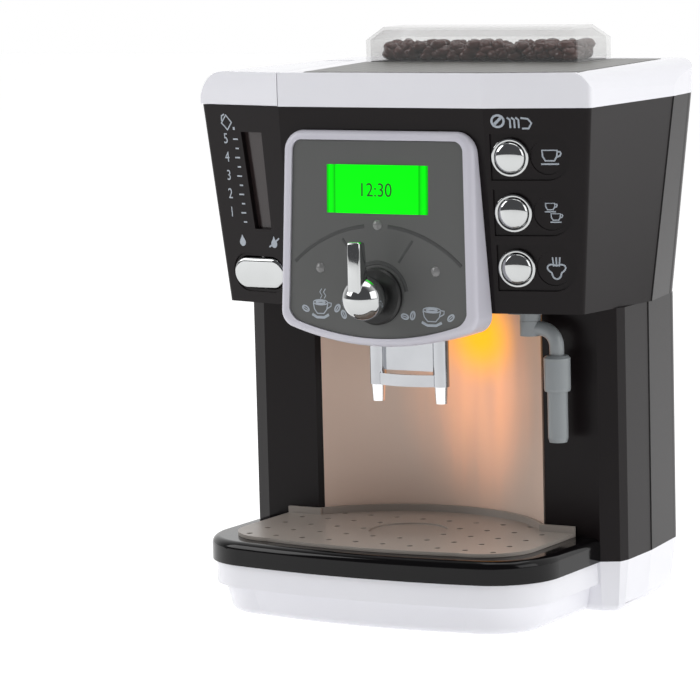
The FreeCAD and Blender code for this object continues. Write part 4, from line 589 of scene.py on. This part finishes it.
def on_wing(side, across, height, x=0.0, y=0.0, out=0.0):
    """A place on the left (-1) or right (+1) wing of the head."""
    top = Vector((crease_x, -front_top, head_top))
    right = (Vector((corner_x, -corner_y, head_top)) - top).normalized()
    low = Vector((crease_x, -front_bottom, head_bottom))
    straight = (low - top).cross(right).normalized()
    if straight.y > 0:
        straight = -straight
    sunk = (low.y - top.y) * (top.z - height) / (top.z - low.z)
    depth = top.y + sunk + (across - top.x) * right.y / right.x
    along = Vector((right.x, side * right.y, 0))
    outwards = Vector((side * straight.x, straight.y, straight.z))
    point = Vector((side * across, depth, height))
    up = outwards.cross(along)
    return face_place(point + along * x + up * y + outwards * out, along, outwards)


crown = []
for step in range(13):
    angle = math.radians(90 * step / 12)
    crown.append((max(dome_radius * math.cos(angle), 0.05), dome_foot + dome_rise * math.sin(angle)))
for name, height in (("cup", cup_height), ("two_cups", two_cups_height), ("steam", steam_height)):
    place = on_wing(1, button_across, height)
    dome = turned_piece("dome_" + name, place, [(dome_radius, -3.4)] + crown)
    joined("button_dome_" + name, [dome], chrome, name + "_button")
    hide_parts("button_" + name)
    collar = turned_piece("rim_" + name, place, collar_profile)
    joined("button_rim_" + name, [collar], chrome, "machine")
    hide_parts("collar_" + name)

# Signs beside the buttons: one cup, two cups and a puff of steam, with a row of small
# signs above them, printed in light blue-grey.
recess = -1.75


def cup_sign(x, y, size, place):
    """Lines of a small cup on a saucer, seen from the side."""
    bowl = ((-4.0, 2.6), (-3.7, -0.2), (-2.5, -2.2), (1.7, -2.2), (2.9, -0.2), (3.2, 2.6))
    ear = ((3.1, 1.9), (4.5, 2.0), (4.9, 1.1), (4.3, 0.0), (2.9, -0.4))
    saucer = ((-4.6, -3.7), (3.8, -3.7))
    made = []
    for points, closed in ((bowl, True), (ear, False), (saucer, False)):
        spots = [(x + px * size, y + py * size) for px, py in points]
        made.append(stroke("sign", spots, 0.85 * max(size, 0.75), place, closed, flat=ink_flat))
    return made


two_cups_face = on_wing(1, button_across, two_cups_height, out=recess)
steam_face = on_wing(1, button_across, steam_height, out=recess)
strip_face = on_wing(1, button_across, cup_height, out=0.05)
signs = cup_sign(18.4, 0.3, 1.0, on_wing(1, button_across, cup_height, out=recess))
signs += cup_sign(17.0, 2.6, 0.62, two_cups_face)
signs += cup_sign(19.4, -2.2, 0.62, two_cups_face)
puff = []
for step in range(36):
    angle = math.tau * step / 36
    spread = 3.7 + 1.0 * math.cos(3 * (angle + math.pi / 2))
    puff.append((18.0 + spread * math.cos(angle), -1.2 + spread * 0.85 * math.sin(angle)))
signs.append(stroke("puff", puff, 0.85, steam_face, True, flat=ink_flat))
for x, lean in ((16.7, -1.4), (18.0, 0.0), (19.3, 1.4)):
    signs.append(stroke("jet", [(x, 0.6), (x + lean * 0.3, 4.9)], 0.75, steam_face, flat=ink_flat))
signs.append(oval(-5.2, 16.6, 2.9, 2.7, strip_face, 1.1))
signs.append(stroke("spoon", [(-6.8, 15.2), (-3.6, 18.2)], 1.4, strip_face, flat=ink_flat))
for x in (0.2, 2.2, 4.2):
    drip = [(x - 1.0, 18.2), (x + 0.4, 17.2), (x + 0.5, 13.4)]
    signs.append(stroke("drip", drip, 0.9, strip_face, flat=ink_flat))
pot = [(5.6, 18.0), (9.0, 17.6), (10.6, 15.6), (9.2, 13.2), (6.2, 13.2)]
signs.append(stroke("pot", pot, 0.9, strip_face, flat=ink_flat))
joined("button_signs", signs, ink, "machine")

# Water gauge on the left wing: a smoked pane behind an opening, with a printed scale of 1
# to 5, a small jug above it and two drops below.
scale_top, mark_step = 19.6, 4.42
smoked_pane = plastic("smoked_pane", (0.020, 0.014, 0.014), (0.032, 0.023, 0.023), 0.18)
dress(smoked_pane, "gauge_window")
gauge_face = on_wing(-1, 72.1, 201.4, out=0.05)


def drop_sign(x, y, place):
    """A filled water drop: a disc with its upper part drawn out to a point."""
    clear_selection()
    bpy.ops.mesh.primitive_circle_add(vertices=28, radius=1.9 * mm, fill_type="NGON")
    drop = bpy.context.object
    pick(drop, lambda spot: spot.y > 0.9 * mm)
    bpy.ops.transform.resize(value=(0.35, 1.4, 1), center_override=(0, 0.9 * mm, 0))
    bpy.ops.transform.translate(value=(0, 1.3 * mm, 0))
    bpy.ops.mesh.select_all(action="SELECT")
    bpy.ops.mesh.extrude_region_move(TRANSFORM_OT_translate={"value": (0, 0, 0.05 * mm)})
    bpy.ops.mesh.select_all(action="SELECT")
    bpy.ops.mesh.normals_make_consistent(inside=False)
    bpy.ops.object.mode_set(mode="OBJECT")
    drop.matrix_world = place @ Matrix.Translation((x * mm, y * mm, 0))
    bpy.ops.object.transform_apply()
    return drop


scale = []
for index in range(10):
    level = scale_top - index * mark_step
    half = 1.55 if index % 2 == 0 else 1.05
    right = -9.0 + index * 0.12
    scale.append(stroke("mark", [(right - half * 2, level), (right, level)], 0.75, gauge_face, flat=ink_flat))
for index, figure in enumerate("54321"):
    spot = Vector((-16.9 - index * 0.1, scale_top - index * mark_step * 2, 0)) * mm
    scale.append(lettered("figure_" + figure, figure, 7.0, gauge_face @ Matrix.Translation(spot), 0.85))
jug = [(-15.6, 31.0), (-12.2, 27.6), (-15.2, 24.0), (-18.8, 27.2)]
scale.append(stroke("jug", jug, 0.95, gauge_face, True, flat=ink_flat))
jug_ear = [(-18.6, 28.2), (-18.4, 30.6), (-16.6, 31.4)]
scale.append(stroke("jug_ear", jug_ear, 0.8, gauge_face, flat=ink_flat))
scale.append(stroke("jug_drop", [(-11.0, 25.4), (-11.0, 24.0)], 1.3, gauge_face, flat=ink_flat))
scale.append(drop_sign(-12.0, -30.0, gauge_face))
scale.append(drop_sign(8.6, -30.0, gauge_face))
scale.append(stroke("struck", [(5.4, -31.6), (12.0, -27.2)], 0.8, gauge_face, flat=0.3))
joined("gauge_signs", scale, ink, "machine")

# Rocker under the gauge: a chromed pill with a raised left half. It tilts on a cross pin in
# its opening in the wing.
pill_radius, pill_half, pill_height = 7.3, 7.7, 5.4
clear_selection()
bpy.ops.mesh.primitive_circle_add(vertices=64, radius=pill_radius * mm, fill_type="NGON")
rocker = bpy.context.object
for side in (-1, 1):
    pick(rocker, lambda spot: spot.x * side > 0.1 * mm)
    bpy.ops.transform.translate(value=(side * pill_half * mm, 0, 0))
bpy.ops.mesh.select_mode(type="FACE")
bpy.ops.mesh.select_all(action="SELECT")
bpy.ops.transform.translate(value=(0, 0, -2.0 * mm))
bpy.ops.mesh.extrude_region_move(TRANSFORM_OT_translate={"value": (0, 0, pill_height * mm)})
for run, rise in ((0.10, 0.55), (0.25, 0.45), (0.40, 0.30), (0.50, 0.18), (0.70, 0.08)):
    bpy.ops.mesh.inset(thickness=run * mm, depth=rise * mm)
bpy.ops.mesh.select_all(action="SELECT")
bpy.ops.mesh.normals_make_consistent(inside=False)
bpy.ops.object.mode_set(mode="OBJECT")
bpy.ops.object.shade_smooth_by_angle(angle=math.radians(50))
rocker.matrix_world = on_wing(-1, 73.6, 157.2, out=-3.4) @ Matrix.Rotation(math.radians(6.0), 4, "Y")
bpy.ops.object.transform_apply()
joined("rocker_pill", [rocker], chrome, "rocker")
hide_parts("rocker_switch")

# Spout: chromed posts with a mirror plate and a bowed bar, hung under the head. Two paler
# nozzles are pressed into its feet.
# Painted shade: the spout's plating is a darker copy of the knob's chrome, for the dim surroundings it
# reflects.
spout_chrome_painted_shade = zinc("spout_chrome_painted_shade", (0.40, 0.41, 0.43), (0.52, 0.53, 0.55), 0.07)
nozzle_chrome = zinc("nozzle_chrome", (0.88, 0.88, 0.89), (0.93, 0.93, 0.94), 0.16)
dress(spout_chrome_painted_shade, "spout_body")
dress(nozzle_chrome, "nozzle_left", "nozzle_right")

# Steam wand: soft grey mouldings, a bent arm with a collar and a tube on its end. Its mount
# under the head lets it swing.
wand_grey = plastic("wand_grey", (0.23, 0.25, 0.26), (0.29, 0.31, 0.32), 0.30, relief=0.05)
dress(wand_grey, "wand_mount", "wand_arm", "wand_collar", "wand_tube")

# Drip tray in glossy black that slides on the deck, and the warm grey grate with small
# holes that lies on it. Both are mouldings.
tray_black = plastic("tray_black", (0.0025, 0.0022, 0.0025), (0.004, 0.0035, 0.004), 0.10, relief=0.02,
                     specular=0.25)
grate_grey = plastic("grate_grey", (0.33, 0.295, 0.265), (0.39, 0.35, 0.315), 0.34, relief=0.12)
dress(tray_black, "drip_tray")
dress(grate_grey, "drip_grate")

# Studio: a plain pale floor just under the machine, a surround that is pale behind and dim
# in front, and three large soft lights.
clear_selection()
bpy.ops.mesh.primitive_plane_add(size=8.0, location=(0, 1.0, -0.0002))
floor = bpy.context.object
floor.name = "studio_floor"
floor_paper = plastic("floor_paper", (0.60, 0.60, 0.60), (0.62, 0.62, 0.62), 0.8, cloud=2.0, relief=0.0,
                      specular=0.1)
shader_of(floor_paper).inputs["Emission Color"].default_value = (1, 1, 1, 1)
shader_of(floor_paper).inputs["Emission Strength"].default_value = 0.62
floor.data.materials.append(floor_paper)
surround = bpy.data.worlds.new("pale_studio")
surround.use_nodes = True
sky = surround.node_tree
shine = sky.nodes["Background"]
compass = sky.nodes.new("ShaderNodeTexCoord")
split = sky.nodes.new("ShaderNodeSeparateXYZ")
shades = sky.nodes.new("ShaderNodeValToRGB")
shades.color_ramp.elements[0].position, shades.color_ramp.elements[0].color = 0.30, (0.10, 0.10, 0.105, 1)
shades.color_ramp.elements[1].position, shades.color_ramp.elements[1].color = 0.66, (1.0, 1.0, 1.0, 1)
lift = sky.nodes.new("ShaderNodeMapRange")
lift.inputs["From Min"].default_value = -1.0
sky.links.new(compass.outputs["Generated"], split.inputs["Vector"])
sky.links.new(split.outputs["Y"], lift.inputs["Value"])
sky.links.new(lift.outputs["Result"], shades.inputs["Fac"])
sky.links.new(shades.outputs["Color"], shine.inputs["Color"])
shine.inputs["Strength"].default_value = 1.0
bpy.context.scene.world = surround
bpy.context.scene.view_settings.view_transform = "Standard"
for name, spot, size, power in (("key", (-1.7, -1.1, 1.2), 1.3, 20.0), ("side", (1.9, -0.3, 0.8), 1.2, 8.5),
                                ("above", (0.2, 0.1, 2.0), 1.4, 11.0)):
    lamp = bpy.data.lights.new(name, "AREA")
    lamp.size = size
    lamp.energy = power
    holder = bpy.data.objects.new(name, lamp)
    bpy.context.collection.objects.link(holder)
    holder.location = spot
    holder.rotation_euler = (Vector((0, 0, 0.12)) - Vector(spot)).to_track_quat("-Z", "Y").to_euler()

# Camera: a long lens to the right of the front, a little above the top. It stands back from
# a middle point of the machine and is turned slightly about its own axis.
turned, raised, rolled = math.radians(30.27), math.radians(7.25), math.radians(-1.437)
middle, distance = Vector((-0.0536, 0.0108, 0.115)), 1.7596
behind = Vector((math.sin(turned) * math.cos(raised), -math.cos(turned) * math.cos(raised), math.sin(raised)))
level = Vector((math.cos(turned), math.sin(turned), 0))
upward = behind.cross(level)
across = level * math.cos(rolled) + upward * math.sin(rolled)
aloft = upward * math.cos(rolled) - level * math.sin(rolled)
eye = bpy.data.cameras.new("photo_view")
eye.lens = 186.3
eye.sensor_width = 36.0
eye.clip_end = 50.0
viewer = bpy.data.objects.new("photo_view", eye)
bpy.context.collection.objects.link(viewer)
stand = Matrix((across, aloft, behind)).transposed().to_4x4()
stand.translation = middle + behind * distance
viewer.matrix_world = stand
bpy.context.scene.camera = viewer
